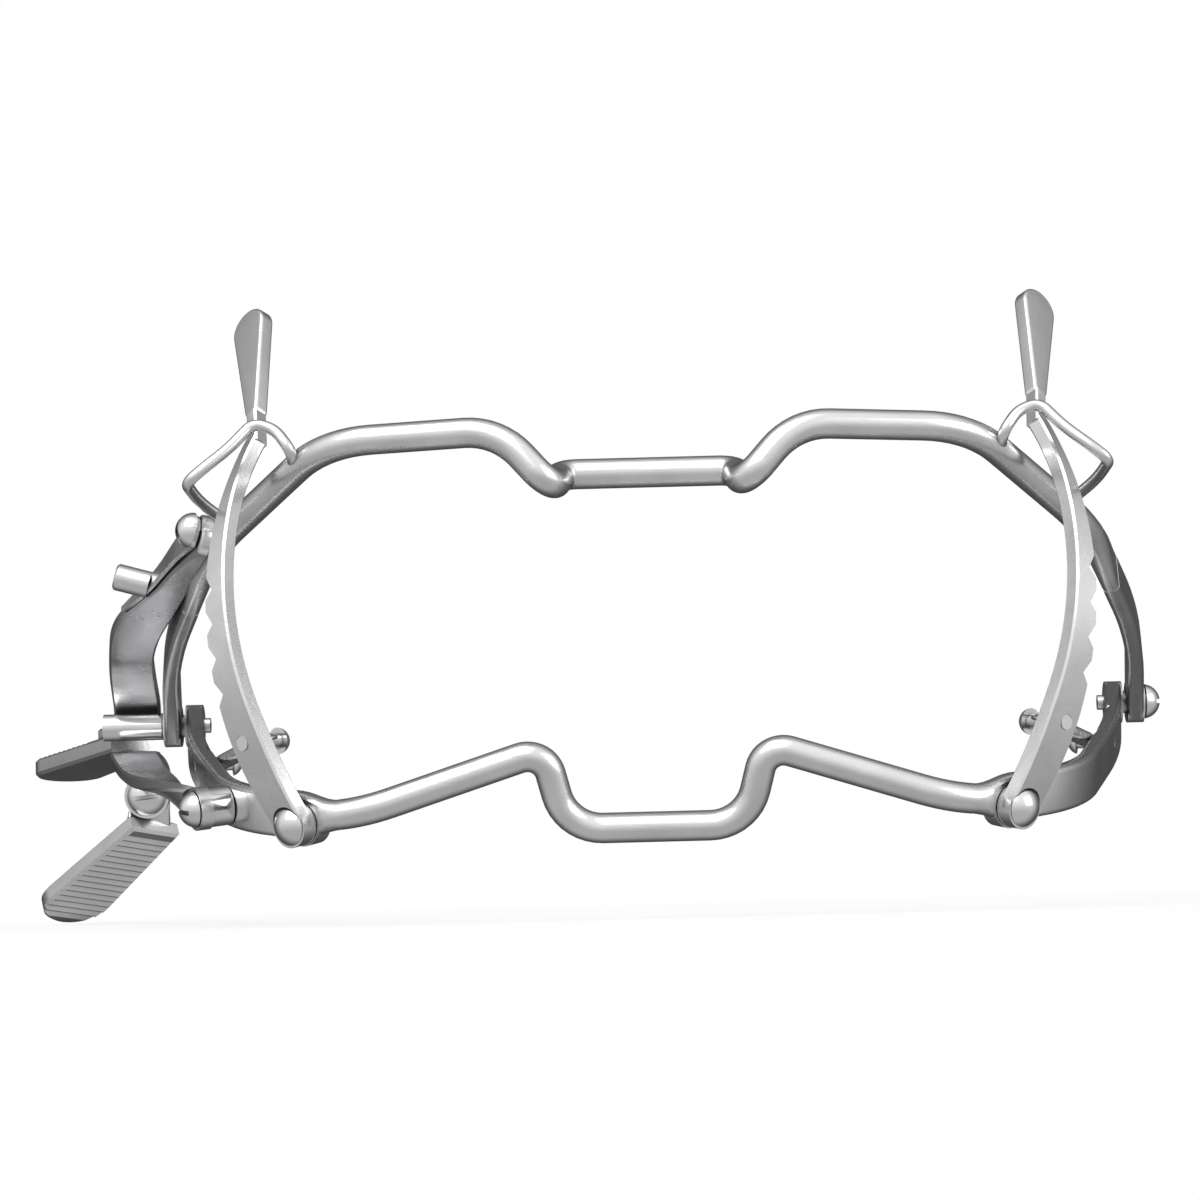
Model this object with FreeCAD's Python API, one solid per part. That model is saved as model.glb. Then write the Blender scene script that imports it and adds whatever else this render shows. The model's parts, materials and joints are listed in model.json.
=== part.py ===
import FreeCAD, Part

import math
import os

from FreeCAD import Placement, Rotation, Vector

# Mouth gag with two hinged wire bows, a pair of ratchet bars and a squeeze lever on the left.
# +X is the right as seen from the front, +Y is the back, +Z is up.
# The origin is the middle of the lower tooth rest; pieces are drawn about the hinge axis, along X.
# Each frame is drawn in its own plane through the hinge axis: reach is the distance in front
# of the axis within the plane, rise is the distance above the plane.

# Driving dimensions, in millimetres and degrees
SIZES = {
    # Attitude
    "upper_angle": 30.0,
    "lower_angle": -9.1,
    "rest_pitch": 4.0,
    # Bows
    "rod_diameter": 3.6,
    "flat_width": 5.6,
    "flat_thickness": 2.2,
    "arm_span": 129.0,
    "strap_span": 123.2,
    "upper_reach": 71.4,
    "upper_rest_reach": 64.6,
    "upper_rest_drop": 2.1,
    "upper_rest_width": 20.8,
    "upper_knuckle_drop": 7.0,
    "upper_crest_width": 35.0,
    "lower_reach": 64.3,
    "lower_rest_reach": 63.5,
    "lower_rest_drop": 1.3,
    "lower_rest_width": 21.2,
    "lower_shoulder_rise": 8.4,
    "lower_shoulder_width": 26.0,
    # Guide loops
    "wire_diameter": 1.4,
    "loop_reach": 65.5,
    "loop_peak_rise": 5.3,
    "loop_side_gap": 0.35,
    # Ratchet bars
    "bar_thickness": 2.0,
    "bar_foot_width": 5.2,
    "bar_tooth_width": 3.8,
    "bar_neck_width": 1.8,
    "bar_radius": 61.0,
    "bar_crest_span": 102.2,
    "bar_side_radius": 49.0,
    "bar_face_turn": 39.7,
    "tooth_pitch": 4.1,
    "tooth_depth": 1.3,
    "tooth_count": 4,
    "tab_length": 21.2,
    "tab_width": 5.4,
    "tab_root_width": 2.2,
    # Rivets, studs and springs of the ratchet bars
    "rivet_head_diameter": 4.6,
    "rivet_head_height": 1.3,
    "rivet_shank_diameter": 2.2,
    "rivet_tail_diameter": 3.4,
    "rivet_tail_height": 0.7,
    "eye_diameter": 5.6,
    "stud_diameter": 1.8,
    "stud_head_diameter": 3.2,
    "stud_head_height": 1.4,
    "stud_standoff": 3.8,
    "post_standoff": 2.6,
    "spring_diameter": 2.0,
    "spring_wire": 0.5,
    # Hinge
    "hinge_pin_diameter": 3.0,
    "hinge_head_diameter": 4.6,
    "hinge_head_height": 2.0,
    "hinge_tip_diameter": 2.0,
    "hinge_tip_length": 1.0,
    "barrel_diameter": 3.6,
    "barrel_length": 7.9,
    # Lever pair on the left
    "lever_thickness": 1.6,
    "lever_width": 6.2,
    "lever_root_width": 4.6,
    "lever_screw_head_diameter": 4.4,
    "lever_screw_head_height": 1.8,
    "lever_screw_shank_diameter": 2.2,
    "backing_thickness": 0.8,
    "boss_diameter": 4.8,
    "boss_length": 2.6,
    "peg_diameter": 3.4,
    "peg_length": 5.4,
    "upper_plate_length": 25.0,
    "lower_plate_length": 24.6,
    "plate_width": 9.8,
    "plate_root_width": 7.6,
    "plate_thickness": 2.4,
    "plate_chamfer": 0.4,
    "groove_pitch": 1.35,
    "groove_depth": 0.45,
    "plate_screw_head_diameter": 5.4,
    "plate_screw_head_height": 1.8,
    # Fits
    "running_clearance": 0.05,
    "seat_gap": 0.1,
    "side_gap": 0.3,
    "press_clearance": 0.02,
    "slot_width": 0.6,
    "slot_depth": 0.6,
}

doc = FreeCAD.newDocument("MouthGag")
sheet = doc.addObject("Spreadsheet::Sheet", "Sizes")
for row, (alias, value) in enumerate(SIZES.items(), start=1):
    sheet.set(f"A{row}", alias)
    sheet.set(f"B{row}", str(value))
    sheet.setAlias(f"B{row}", alias)
doc.recompute()


def size(alias):
    """Value of a driving dimension, read from the sheet."""
    return float(sheet.get(alias))


RIGHT, LEFT = 1, -1
SIDES = {"right": RIGHT, "left": LEFT}
UPPER = size("upper_angle")
LOWER = size("lower_angle")
NODES = []


# Vectors and planes

def forward(angle):
    """Unit vector from the hinge axis to the front, in the plane at this angle."""
    turn = math.radians(angle)
    return Vector(0, -math.cos(turn), math.sin(turn))


def upward(angle):
    """Unit vector square to the plane at this angle."""
    turn = math.radians(angle)
    return Vector(0, math.sin(turn), math.cos(turn))


def on_frame(angle, x, reach, rise=0.0):
    """Point of the plane at this angle."""
    return Vector(x, 0, 0) + forward(angle) * reach + upward(angle) * rise


def unit(vector):
    """Copy of a vector with length one."""
    return Vector(vector) / vector.Length


def square_to(vector, direction):
    """Part of a vector square to a direction, with length one."""
    along = unit(direction)
    return unit(vector - along * vector.dot(along))


def mirrored(shape, side):
    """Shape for this side of the gag, from the one drawn on the right."""
    return shape if side == RIGHT else shape.mirror(Vector(0, 0, 0), Vector(1, 0, 0))


# Paths and sections

def rounded_path(points, radii=None):
    """Wire of straight runs joined by tangent arcs at the inner points."""
    edges = []
    start = points[0]
    for index in range(1, len(points) - 1):
        corner = points[index]
        back, ahead = points[index - 1] - corner, points[index + 1] - corner
        half_turn = (math.pi - back.getAngle(ahead)) / 2
        room = 0.45 * min(back.Length, ahead.Length)
        radius = room / math.tan(half_turn)
        if radii and radii[index - 1]:
            radius = radii[index - 1]
        tangent = radius * math.tan(half_turn)
        back, ahead = unit(back), unit(ahead)
        first, last = corner + back * tangent, corner + ahead * tangent
        middle = corner + unit(back + ahead) * (radius / math.cos(half_turn) - radius)
        edges.append(Part.LineSegment(start, first).toShape())
        edges.append(Part.Arc(first, middle, last).toShape())
        start = last
    edges.append(Part.LineSegment(start, points[-1]).toShape())
    return Part.Wire(edges)


def stations(path, distances):
    """Points and directions at these distances along a path."""
    found = []
    for distance in distances:
        passed = 0.0
        for edge in path.OrderedEdges:
            if distance <= passed + edge.Length or edge.isSame(path.OrderedEdges[-1]):
                parameter = edge.getParameterByLength(min(distance - passed, edge.Length))
                found.append((edge.valueAt(parameter), edge.tangentAt(parameter)))
                break
            passed += edge.Length
    return found


def rod(path, diameter):
    """Round rod along a path."""
    start, direction = stations(path, [0.0])[0]
    circle = Part.Wire(Part.makeCircle(diameter / 2, start, direction))
    return path.makePipeShell([circle], True, False)


def section(centre, along, across, width, thickness, rounding, roundness=0.0):
    """Ring of eight edges square to its run: a rounded rectangle, or a circle at roundness 1."""
    across = square_to(across, along)
    through = unit(along).cross(across)
    half_width = width / 2 - rounding
    half_thickness = thickness / 2 - rounding
    corners = [(1, 1), (-1, 1), (-1, -1), (1, -1)]
    arcs = []
    for quarter, (toward, over) in enumerate(corners):
        middle = centre + across * toward * half_width + through * over * half_thickness
        reached = []
        for step in range(3):
            inset = 22.5 * roundness
            turn = math.radians(90 * quarter + inset + (45 - inset) * step)
            reached.append(middle + (across * math.cos(turn) + through * math.sin(turn)) * rounding)
        arcs.append(reached)
    tops = [through * thickness / 2, across * -width / 2, through * -thickness / 2, across * width / 2]
    edges = []
    for index, reached in enumerate(arcs):
        ahead = arcs[(index + 1) % 4][0]
        edges.append(Part.Arc(*reached).toShape())
        if roundness > 0:
            edges.append(Part.Arc(reached[2], centre + tops[index], ahead).toShape())
        else:
            edges.append(Part.LineSegment(reached[2], ahead).toShape())
    return Part.Wire(edges)


def ruled(sections):
    """Solid with straight runs between its sections."""
    return Part.makeLoft(sections, True, True)


def strap(places, thickness, chamfer=0.3):
    """Bent flat strap through places, each a point, a width direction, a run and a width."""
    rings = []
    for point, across, along, width in places:
        across = square_to(across, along)
        through = unit(along).cross(across)
        wide, thick = width / 2, thickness / 2
        corners = [(wide, thick - chamfer), (wide - chamfer, thick), (chamfer - wide, thick),
                   (-wide, thick - chamfer), (-wide, chamfer - thick), (chamfer - wide, -thick),
                   (wide - chamfer, -thick), (wide, chamfer - thick)]
        rings.append([point + across * a + through * b for a, b in corners])
    rails = []
    for corner in range(8):
        rail = Part.BSplineCurve()
        rail.interpolate([ring[corner] for ring in rings])
        rails.append(rail.toShape())
    faces = [Part.makeRuledSurface(rails[index], rails[(index + 1) % 8]) for index in range(8)]
    for ring in (rings[0], rings[-1]):
        faces.append(Part.Face(Part.makePolygon(ring + [ring[0]])))
    shell = Part.makeCompound(faces)
    shell.sewShape()
    solid = Part.Solid(shell.Shells[0] if shell.Shells else Part.Shell(shell.Faces))
    return solid if solid.Volume > 0 else solid.reversed()


def disc(centre, axis, diameter, height):
    """Flat disc, half of its height on each side of its centre."""
    axis = unit(axis)
    return Part.makeCylinder(diameter / 2, height, centre - axis * height / 2, axis)


def domed_pin(foot, axis, head, rise, shank, length, slot=None):
    """Domed head on a shank; foot is the head's underside and axis points out of the head."""
    axis = unit(axis)
    radius = ((head / 2) ** 2 + rise ** 2) / (2 * rise)
    ball = Part.makeSphere(radius, foot + axis * (rise - radius))
    seat = Part.makeCylinder(head, rise, foot, axis)
    solid = ball.common(seat)
    if length > 0:
        solid = solid.fuse(Part.makeCylinder(shank / 2, length, foot - axis * length, axis))
    if slot is not None:
        cutter = slot_cutter(foot + axis * rise, axis, slot, head)
        solid = solid.cut(cutter)
    return solid.removeSplitter()


def slot_cutter(top, axis, direction, head):
    """Box that cuts a screwdriver slot across a head."""
    along = square_to(direction, axis)
    across = unit(axis).cross(along)
    width, depth = size("slot_width"), size("slot_depth")
    corner = top - along * head - across * width / 2 - axis * depth
    ends = [corner, corner + along * 2 * head, corner + along * 2 * head + across * width,
            corner + across * width, corner]
    return Part.Face(Part.makePolygon(ends)).extrude(unit(axis) * (depth + head))


def press_hole(centre, axis, diameter):
    """Cutter for a hole that grips a pin."""
    return disc(centre, axis, diameter + 2 * size("press_clearance"), 7.0)


def head_room(foot, axis, diameter):
    """Cutter that frees the seat of a head: a cylinder from its foot outwards."""
    return Part.makeCylinder(diameter / 2 + size("seat_gap"), 5.0, foot, unit(axis))


# Document objects

def node(name, shape):
    """Add a finished piece to the document, turned to the attitude at rest."""
    piece = doc.addObject("Part::Feature", name)
    piece.Shape = shape
    piece.Label = name
    piece.Placement = rest_placement()
    NODES.append(piece)
    return piece


def rest_placement():
    """Turn to the attitude at rest and move that brings the lower tooth rest to the origin."""
    turn = Rotation(Vector(1, 0, 0), size("rest_pitch"))
    rest = on_frame(LOWER, 0, size("lower_rest_reach"), -size("lower_rest_drop"))
    return Placement(turn.multVec(rest) * -1, turn)


# Upper frame

def upper_corners():
    """Corners of the right half of the upper bow, from the hinge to the tooth rest."""
    reach = size("upper_reach")
    rest = size("upper_rest_width") / 2
    arm = size("arm_span") / 2
    crest = size("upper_crest_width") / 2
    return [
        on_frame(UPPER, arm, 0),
        on_frame(UPPER, arm - 2.1, 0.29 * reach),
        on_frame(UPPER, arm - 10.2, 0.637 * reach, 0.3),
        on_frame(UPPER, arm - 26.0, 0.931 * reach, 2.0),
        on_frame(UPPER, crest, reach),
        on_frame(UPPER, rest + 0.8, reach - 2.1, -size("upper_knuckle_drop")),
        on_frame(UPPER, rest, size("upper_rest_reach"), -size("upper_rest_drop")),
    ]


def side_split(corners, index):
    """Point halfway along the run after this corner."""
    return (corners[index] + corners[index + 1]) / 2


def sub_path(path, first, last):
    """Stretch of a path between two distances."""
    edges = []
    passed = 0.0
    for edge in path.OrderedEdges:
        low, high = max(first - passed, 0.0), min(last - passed, edge.Length)
        if high - low > 0.01:
            ends = [edge.getParameterByLength(low), edge.getParameterByLength(high)]
            edges.append(edge.Curve.toShape(min(ends), max(ends)))
        passed += edge.Length
    return Part.Wire(edges)


def flattened_side(path, angle, flat_until, round_from):
    """Side of a frame: flat from the hinge, then blending into the round rod."""
    step = 0.06
    wide, thin, round_size = size("flat_width"), size("flat_thickness"), size("rod_diameter")
    start, along = stations(path, [0.0])[0]
    sweep = Part.BRepOffsetAPI.MakePipeShell(sub_path(path, 0.0, flat_until))
    sweep.setBiNormalMode(upward(angle))
    sweep.add(section(start, along, upward(angle), wide, thin, 0.7))
    sweep.build()
    sweep.makeSolid()
    sections = []
    for share in (0.0, 0.15, 0.3, 0.5, 0.7, 0.85, 1.0):
        distance = flat_until + (round_from - flat_until) * share
        point, along = stations(path, [distance])[0]
        level = along - upward(angle) * along.dot(upward(angle))
        ease = share * share * (3 - 2 * share)
        width = (wide - step) * (1 - ease) + (round_size - step) * ease
        thickness = (thin - step) * (1 - ease) + (round_size - step) * ease
        rounding = 0.7 * (1 - ease) + (round_size - step) / 2 * ease
        sections.append(section(point, level * (1 - share) + along * share, upward(angle), width,
                                thickness, rounding, max(ease, 0.02)))
    solid = sweep.shape().fuse(ruled(sections))
    return solid.fuse(rod(sub_path(path, round_from, path.Length), round_size))


def middle_path(corners, index, radii):
    """Path of the round rod between the two flattened sides."""
    right = [side_split(corners, index)] + corners[index + 1:]
    left = [Vector(-point.x, point.y, point.z) for point in reversed(right)]
    bends = [None] * (len(right) - 1 - len(radii)) + radii
    return rounded_path(right + left, bends + list(reversed(bends)))


def hinge_eye(x, angle):
    """Rounded end of a frame on the hinge axis."""
    return disc(Vector(x, 0, 0), Vector(1, 0, 0), size("flat_width"), size("flat_thickness"))


def hinge_bore(x, clearance):
    """Cutter for the hinge pin's hole."""
    return disc(Vector(x, 0, 0), Vector(1, 0, 0), size("hinge_pin_diameter") + 2 * clearance, 8.0)


def upper_side_path(corners):
    """Path of the flattened side, from the hinge to the middle of the run after the temple."""
    return rounded_path(corners[:3] + [side_split(corners, 2)])


def upper_bow():
    """Upper frame: round bow with a tooth rest, and two flattened arms to the hinge."""
    corners = upper_corners()
    path = middle_path(corners, 2, [9.0, 2.4, 2.2])
    solid = rod(path, size("rod_diameter"))
    side = flattened_side(upper_side_path(corners), UPPER, 35.0, 45.0)
    side = side.fuse(hinge_eye(size("arm_span") / 2, UPPER))
    for sign in SIDES.values():
        solid = solid.fuse(mirrored(side, sign))
    for sign in SIDES.values():
        solid = solid.cut(hinge_bore(sign * size("arm_span") / 2, size("running_clearance")))
    return solid.removeSplitter()


def guide_loop(bow):
    """Wire loop on the right shoulder of the upper bow; the ratchet bar slides through it."""
    reach = size("loop_reach")
    peak = size("loop_peak_rise")
    wire = size("wire_diameter")
    outer = tooth_tip_x() + size("loop_side_gap") + wire / 2
    inner_foot, _ = stations(middle_path(upper_corners(), 2, [9.0, 2.4, 2.2]), [6.5])[0]
    side_path = upper_side_path(upper_corners())
    outer_foot, _ = stations(side_path, [side_path.Length - 7.6])[0]
    points = [
        inner_foot,
        on_frame(UPPER, inner_foot.x - 0.2, reach, 0.27 * peak),
        on_frame(UPPER, inner_foot.x + 2.0, reach, 0.9 * peak),
        on_frame(UPPER, inner_foot.x + 4.6, reach, 1.08 * peak),
        on_frame(UPPER, outer - 4.2, reach, 0.42 * peak),
        on_frame(UPPER, outer - 1.2, reach, -0.1 * peak),
        on_frame(UPPER, outer + 0.9, reach - 0.7, -0.4 * peak),
        on_frame(UPPER, outer + 0.1, reach - 7.0, -0.15 * peak),
        outer_foot,
    ]
    loop = rod(rounded_path(points), wire)
    return loop.cut(bow)


# Lower frame

def lower_corners():
    """Corners of the right half of the lower bow, from the hinge to the tooth rest."""
    strap = size("strap_span") / 2
    reach = size("lower_reach")
    rest = size("lower_rest_width") / 2
    return [
        on_frame(LOWER, strap, 0),
        on_frame(LOWER, strap - 3.0, 0.373 * reach),
        on_frame(LOWER, strap - 10.8, 0.832 * reach),
        on_frame(LOWER, strap - 25.3, 1.011 * reach, 1.0),
        on_frame(LOWER, size("lower_shoulder_width") / 2, reach, size("lower_shoulder_rise")),
        on_frame(LOWER, rest, size("lower_rest_reach"), -size("lower_rest_drop")),
    ]


def rivet_centre():
    """Centre of the right eye that carries the ratchet bar."""
    corners = lower_corners()
    path = rounded_path(corners[:4] + [side_split(corners, 3)])
    point, _ = stations(path, [path.Length - 18.0])[0]
    return point - upward(LOWER) * 0.8


def rivet_angle():
    """Angle of the rivet about the hinge axis."""
    centre = rivet_centre()
    return math.degrees(math.atan2(centre.z, -centre.y))


def face_normal(angle):
    """Direction of the ratchet bar's face, outward and to the front."""
    turn = math.radians(size("bar_face_turn"))
    return Vector(math.sin(turn), 0, 0) + forward(angle) * math.cos(turn)


def face_width(angle):
    """Direction across the ratchet bar's face, outward and to the back."""
    turn = math.radians(size("bar_face_turn"))
    return Vector(math.cos(turn), 0, 0) - forward(angle) * math.sin(turn)


def lower_bow():
    """Lower frame: round bow with a tooth rest, rivet eyes, and two upright straps to the hinge."""
    corners = lower_corners()
    path = middle_path(corners, 3, [2.8, 5.5])
    solid = rod(path, size("rod_diameter"))
    strap_path = rounded_path(corners[:4] + [side_split(corners, 3)])
    eye_at = strap_path.Length - 18.0
    side = flattened_side(strap_path, LOWER, eye_at - 1.0, eye_at + 5.0)
    normal = face_normal(rivet_angle())
    eye = disc(rivet_centre(), normal, size("eye_diameter"), size("flat_thickness"))
    side = side.fuse(hinge_eye(size("strap_span") / 2, LOWER)).fuse(eye)
    room = Part.makeCylinder(size("bar_foot_width") / 2 + 1.2, 6.0,
                             rivet_centre() + normal * size("flat_thickness") / 2, normal)
    tail = rivet_centre() - normal * (size("flat_thickness") / 2 + 3.0)
    cutters = [
        room,
        Part.makeCylinder(size("rivet_tail_diameter") / 2 + 0.3, 3.0, tail, normal),
        press_hole(rivet_centre(), normal, size("rivet_shank_diameter")),
        press_hole(*post_place(), size("stud_diameter")),
        hinge_bore(size("strap_span") / 2, 0.02),
    ]
    for sign in SIDES.values():
        solid = solid.fuse(mirrored(side, sign))
    for sign in SIDES.values():
        for cutter in cutters:
            solid = solid.cut(mirrored(cutter, sign))
    return solid.removeSplitter()


# Ratchet bars

def bar_seat():
    """Height of the bar's middle surface above the eye's middle, along the rivet."""
    return size("flat_thickness") / 2 + size("seat_gap") + size("bar_thickness") / 2


def bar_foot():
    """Centre of the bar's rounded foot."""
    return rivet_centre() + face_normal(rivet_angle()) * bar_seat()


CREST_ANGLE = 17.5
NECK_ANGLE = 31.5
TOP_ANGLE = 36.0


def bar_point(angle):
    """Centre of the bar at this angle about the hinge axis."""
    foot = bar_foot()
    radius = size("bar_radius")
    foot_angle = math.degrees(math.atan2(foot.z, -foot.y))
    foot_reach = math.hypot(foot.y, foot.z)
    share = max((5.0 - angle) / (5.0 - foot_angle), 0.0)
    reach = radius + (foot_reach - radius) * share ** 2
    arc = math.radians(angle - CREST_ANGLE) * radius
    crest = size("bar_crest_span") / 2
    x = crest - arc ** 2 / (2 * size("bar_side_radius"))
    foot_arc = math.radians(foot_angle - CREST_ANGLE) * radius
    foot_x = crest - foot_arc ** 2 / (2 * size("bar_side_radius"))
    return on_frame(angle, x + (foot.x - foot_x) * share ** 2, reach)


def bar_width(angle):
    """Width of the bar at this angle."""
    neck, tooth, foot = size("bar_neck_width"), size("bar_tooth_width"), size("bar_foot_width")
    if angle >= NECK_ANGLE:
        return neck
    if angle <= 0.0:
        return foot
    if angle <= 11.0:
        return foot + (tooth - foot) * angle / 11.0
    return tooth + (neck - tooth) * (angle - 11.0) / (NECK_ANGLE - 11.0)


def bar_along(angle):
    """Direction of the bar's run at this angle."""
    return unit(bar_point(angle + 0.5) - bar_point(angle - 0.5))


def tooth_angles():
    """Angles of the notches, from the lowest."""
    pitch = math.degrees(size("tooth_pitch") / size("bar_radius"))
    return [5.3 + pitch * index for index in range(int(size("tooth_count")))]


def outer_edge_x(angle):
    """Outermost X of the bar at this angle."""
    turn = math.radians(size("bar_face_turn"))
    half_width, half_thickness = bar_width(angle) / 2, size("bar_thickness") / 2
    return bar_point(angle).x + half_width * math.cos(turn) + half_thickness * math.sin(turn)


def tooth_tip_x():
    """Outermost X of the toothed stretch."""
    return max(outer_edge_x(angle) for angle in range(0, 32))


def notch(angle):
    """Cutter for one notch in the bar's outer edge, steep below and sloped above."""
    along, across = bar_along(angle), square_to(face_width(angle), bar_along(angle))
    normal = unit(face_normal(angle))
    edge = bar_point(angle) + across * bar_width(angle) / 2
    pitch, depth = size("tooth_pitch"), size("tooth_depth")
    clear = 1.0
    points = [
        edge - across * depth,
        edge + along * 0.55 * pitch * (1 + clear / depth) + across * clear,
        edge - along * 0.33 * pitch * (1 + clear / depth) + across * clear,
    ]
    half = size("bar_thickness") * 1.5
    outline = [point - normal * half for point in points]
    face = Part.Face(Part.makePolygon(outline + [outline[0]]))
    return face.extrude(normal * 2 * half)


def tab():
    """Flat finger tab at the top of the bar."""
    base = bar_point(TOP_ANGLE)
    normal = unit(face_normal(TOP_ANGLE) + Vector(0.08, 0, 0))
    along = square_to(upward(TOP_ANGLE) + Vector(0.14, 0, 0), normal)
    across = along.cross(normal)
    if across.x < 0:
        across = across * -1
    small, large = size("tab_root_width") / 2, size("tab_width") / 2
    low = base + along * 0.22 * size("tab_length")
    high = base + along * (size("tab_length") - large)
    span = (high - low).Length
    lean = math.asin((large - small) / span)

    def rim(centre, radius, turn):
        """Point of a circle of the outline, its turn counted from across."""
        return centre + (across * math.cos(turn) + along * math.sin(turn)) * radius

    edges = [
        Part.LineSegment(rim(low, small, -lean), rim(high, large, -lean)).toShape(),
        Part.Arc(rim(high, large, -lean), rim(high, large, math.pi / 2),
                 rim(high, large, math.pi + lean)).toShape(),
        Part.LineSegment(rim(high, large, math.pi + lean), rim(low, small, math.pi + lean)).toShape(),
        Part.Arc(rim(low, small, math.pi + lean), rim(low, small, -math.pi / 2),
                 rim(low, small, -lean)).toShape(),
    ]
    thickness = size("bar_thickness")
    plate = Part.Face(Part.Wire(edges)).extrude(normal * thickness)
    plate.translate(normal * -thickness / 2)
    rims = [edge for edge in plate.Edges if edge.Length > 1.2 * thickness]
    plate = plate.makeFillet(0.4, rims)
    neck = [base - along * 0.8, low + along * 1.0]
    width = size("bar_neck_width")
    return plate.fuse(strap([(point, across, along, width) for point in neck], thickness - 0.02, 0.25))


def ratchet_bar():
    """Right ratchet bar: rounded foot on the rivet, curved toothed strip, neck and finger tab."""
    foot = bar_foot()
    foot_angle = math.degrees(math.atan2(foot.z, -foot.y))
    angles = [foot_angle, foot_angle + 4, 0.0, 5.0, 11.0, 17.0, 24.0, NECK_ANGLE, TOP_ANGLE]
    places = [(bar_point(angle), face_width(angle), bar_along(angle), bar_width(angle))
              for angle in angles]
    strip = strap(places, size("bar_thickness"), 0.25)
    normal = unit(face_normal(rivet_angle()))
    strip = strip.fuse(disc(foot, normal, size("bar_foot_width"), size("bar_thickness")))
    for angle in tooth_angles():
        strip = strip.cut(notch(angle))
    strip = strip.fuse(tab())
    half = normal * size("bar_thickness") / 2
    strip = strip.cut(head_room(foot + half, normal, size("rivet_head_diameter")))
    strip = strip.cut(Part.makeCylinder(size("bar_foot_width"), 3.0, foot - half, normal * -1))
    hole = size("rivet_shank_diameter") + 2 * size("running_clearance")
    strip = strip.cut(disc(foot, normal, hole, 8.0))
    axis, point = stud_axis()
    strip = strip.cut(disc(point, axis, size("stud_diameter") + 0.04, 8.0))
    return strip.removeSplitter()


def rivet():
    """Right rivet: domed head in front of the bar, shank through the eye, flat tail behind it."""
    normal = unit(face_normal(rivet_angle()))
    half_eye = size("flat_thickness") / 2
    top = bar_seat() + size("bar_thickness") / 2 + size("running_clearance")
    tail = size("rivet_tail_height")
    head = domed_pin(rivet_centre() + normal * top, normal, size("rivet_head_diameter"),
                     size("rivet_head_height"), size("rivet_shank_diameter"), top + half_eye + tail)
    collar = Part.makeCylinder(size("rivet_tail_diameter") / 2, tail,
                               rivet_centre() - normal * (half_eye + 0.02 + tail), normal)
    return head.fuse(collar).removeSplitter()


def stud_axis():
    """Axis of the spring stud on the bar and the point where it crosses the bar."""
    angle = -0.3
    return unit(face_normal(angle)), bar_point(angle) + face_width(angle) * 0.6


def ratchet_stud():
    """Right spring stud: headed tail behind the bar, its end riveted flush in the face."""
    axis, point = stud_axis()
    half = size("bar_thickness") / 2
    foot = point - axis * (half + size("stud_standoff"))
    shank = size("stud_diameter")
    return domed_pin(foot, axis * -1, size("stud_head_diameter"), size("stud_head_height"), shank,
                     size("stud_standoff") + 2 * half + 0.08, upward(0))


def post_place():
    """Foot of the right spring post on the strap's inner face and its direction."""
    corners = lower_corners()
    point, along = stations(rounded_path(corners[:4]), [30.0])[0]
    inward = unit(upward(LOWER).cross(along))
    if inward.x > 0:
        inward = inward * -1
    return point + inward * size("flat_thickness") / 2 + upward(LOWER) * 0.6, inward


def spring_post():
    """Right spring post: slotted screw that stands on the strap's inner face."""
    foot, inward = post_place()
    standoff = size("post_standoff")
    return domed_pin(foot + inward * standoff, inward, size("stud_head_diameter"), 1.2,
                     size("stud_diameter"), standoff + 0.8 * size("flat_thickness"), upward(LOWER))


def ratchet_spring():
    """Right tension spring, coil against coil, hooked over the stud and the post."""
    axis, point = stud_axis()
    half = size("bar_thickness") / 2
    first = point - axis * (half + size("stud_standoff") / 2)
    foot, inward = post_place()
    last = foot + inward * size("post_standoff") / 2
    wire, outer = size("spring_wire"), size("spring_diameter")
    slack, lead = 1.4, 0.5
    loose = size("stud_diameter") / 2 + wire / 2 + 0.6
    close = size("stud_diameter") / 2 + wire / 2 + 0.1
    loose_run, close_run = square_to(last - first, axis), square_to(last - first, inward)
    tie = first + loose_run * (slack / 2 + loose)
    anchor = last - close_run * close
    run = unit(anchor - tie)
    start, end = tie + run * lead, anchor - run * lead
    coils = max(int((end - start).Length / (3 * wire)), 2)
    pitch = (end - start).Length / coils
    side = square_to(upward(0), run)
    inner = outer / 2 - wire
    edges = []
    for index in range(coils):
        low = start + run * pitch * index
        high = low + run * pitch
        crest = low + run * pitch / 2 + side * outer / 2
        edges.append(Part.LineSegment(low + side * inner, crest).toShape())
        edges.append(Part.LineSegment(crest, high + side * inner).toShape())
    edges.append(Part.LineSegment(end + side * inner, end).toShape())
    edges.append(Part.LineSegment(end, start).toShape())
    edges.append(Part.LineSegment(start, start + side * inner).toShape())
    body = Part.Face(Part.Wire(Part.__sortEdges__(edges))).revolve(start, run, 360)
    body = body.fuse(Part.makeCylinder(wire / 2, lead + 0.2, tie, run))
    body = body.fuse(Part.makeCylinder(wire / 2, lead + 0.2, anchor, run * -1))
    ring = oval_ring(first - loose_run * slack / 2, axis, loose, loose_run, slack, wire)
    hook = oval_ring(last, inward, close, close_run, 0.0, wire)
    return body.fuse(ring).fuse(hook).removeSplitter()


def oval_ring(centre, about, radius, run, stretch, wire):
    """Ring of wire, stretched along its run."""
    run = square_to(run, about)
    across = unit(about).cross(run)
    far, near = centre + run * stretch, centre
    edges = [
        Part.Arc(near + across * radius, near - run * radius, near - across * radius).toShape(),
        Part.Arc(far - across * radius, far + run * radius, far + across * radius).toShape(),
    ]
    if stretch > 0:
        edges.insert(1, Part.LineSegment(near - across * radius, far - across * radius).toShape())
        edges.append(Part.LineSegment(far + across * radius, near + across * radius).toShape())
    path = Part.Wire(edges)
    circle = Part.Wire(Part.makeCircle(wire / 2, near + across * radius, run))
    return path.makePipeShell([circle], True, False)


# Hinge

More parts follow.
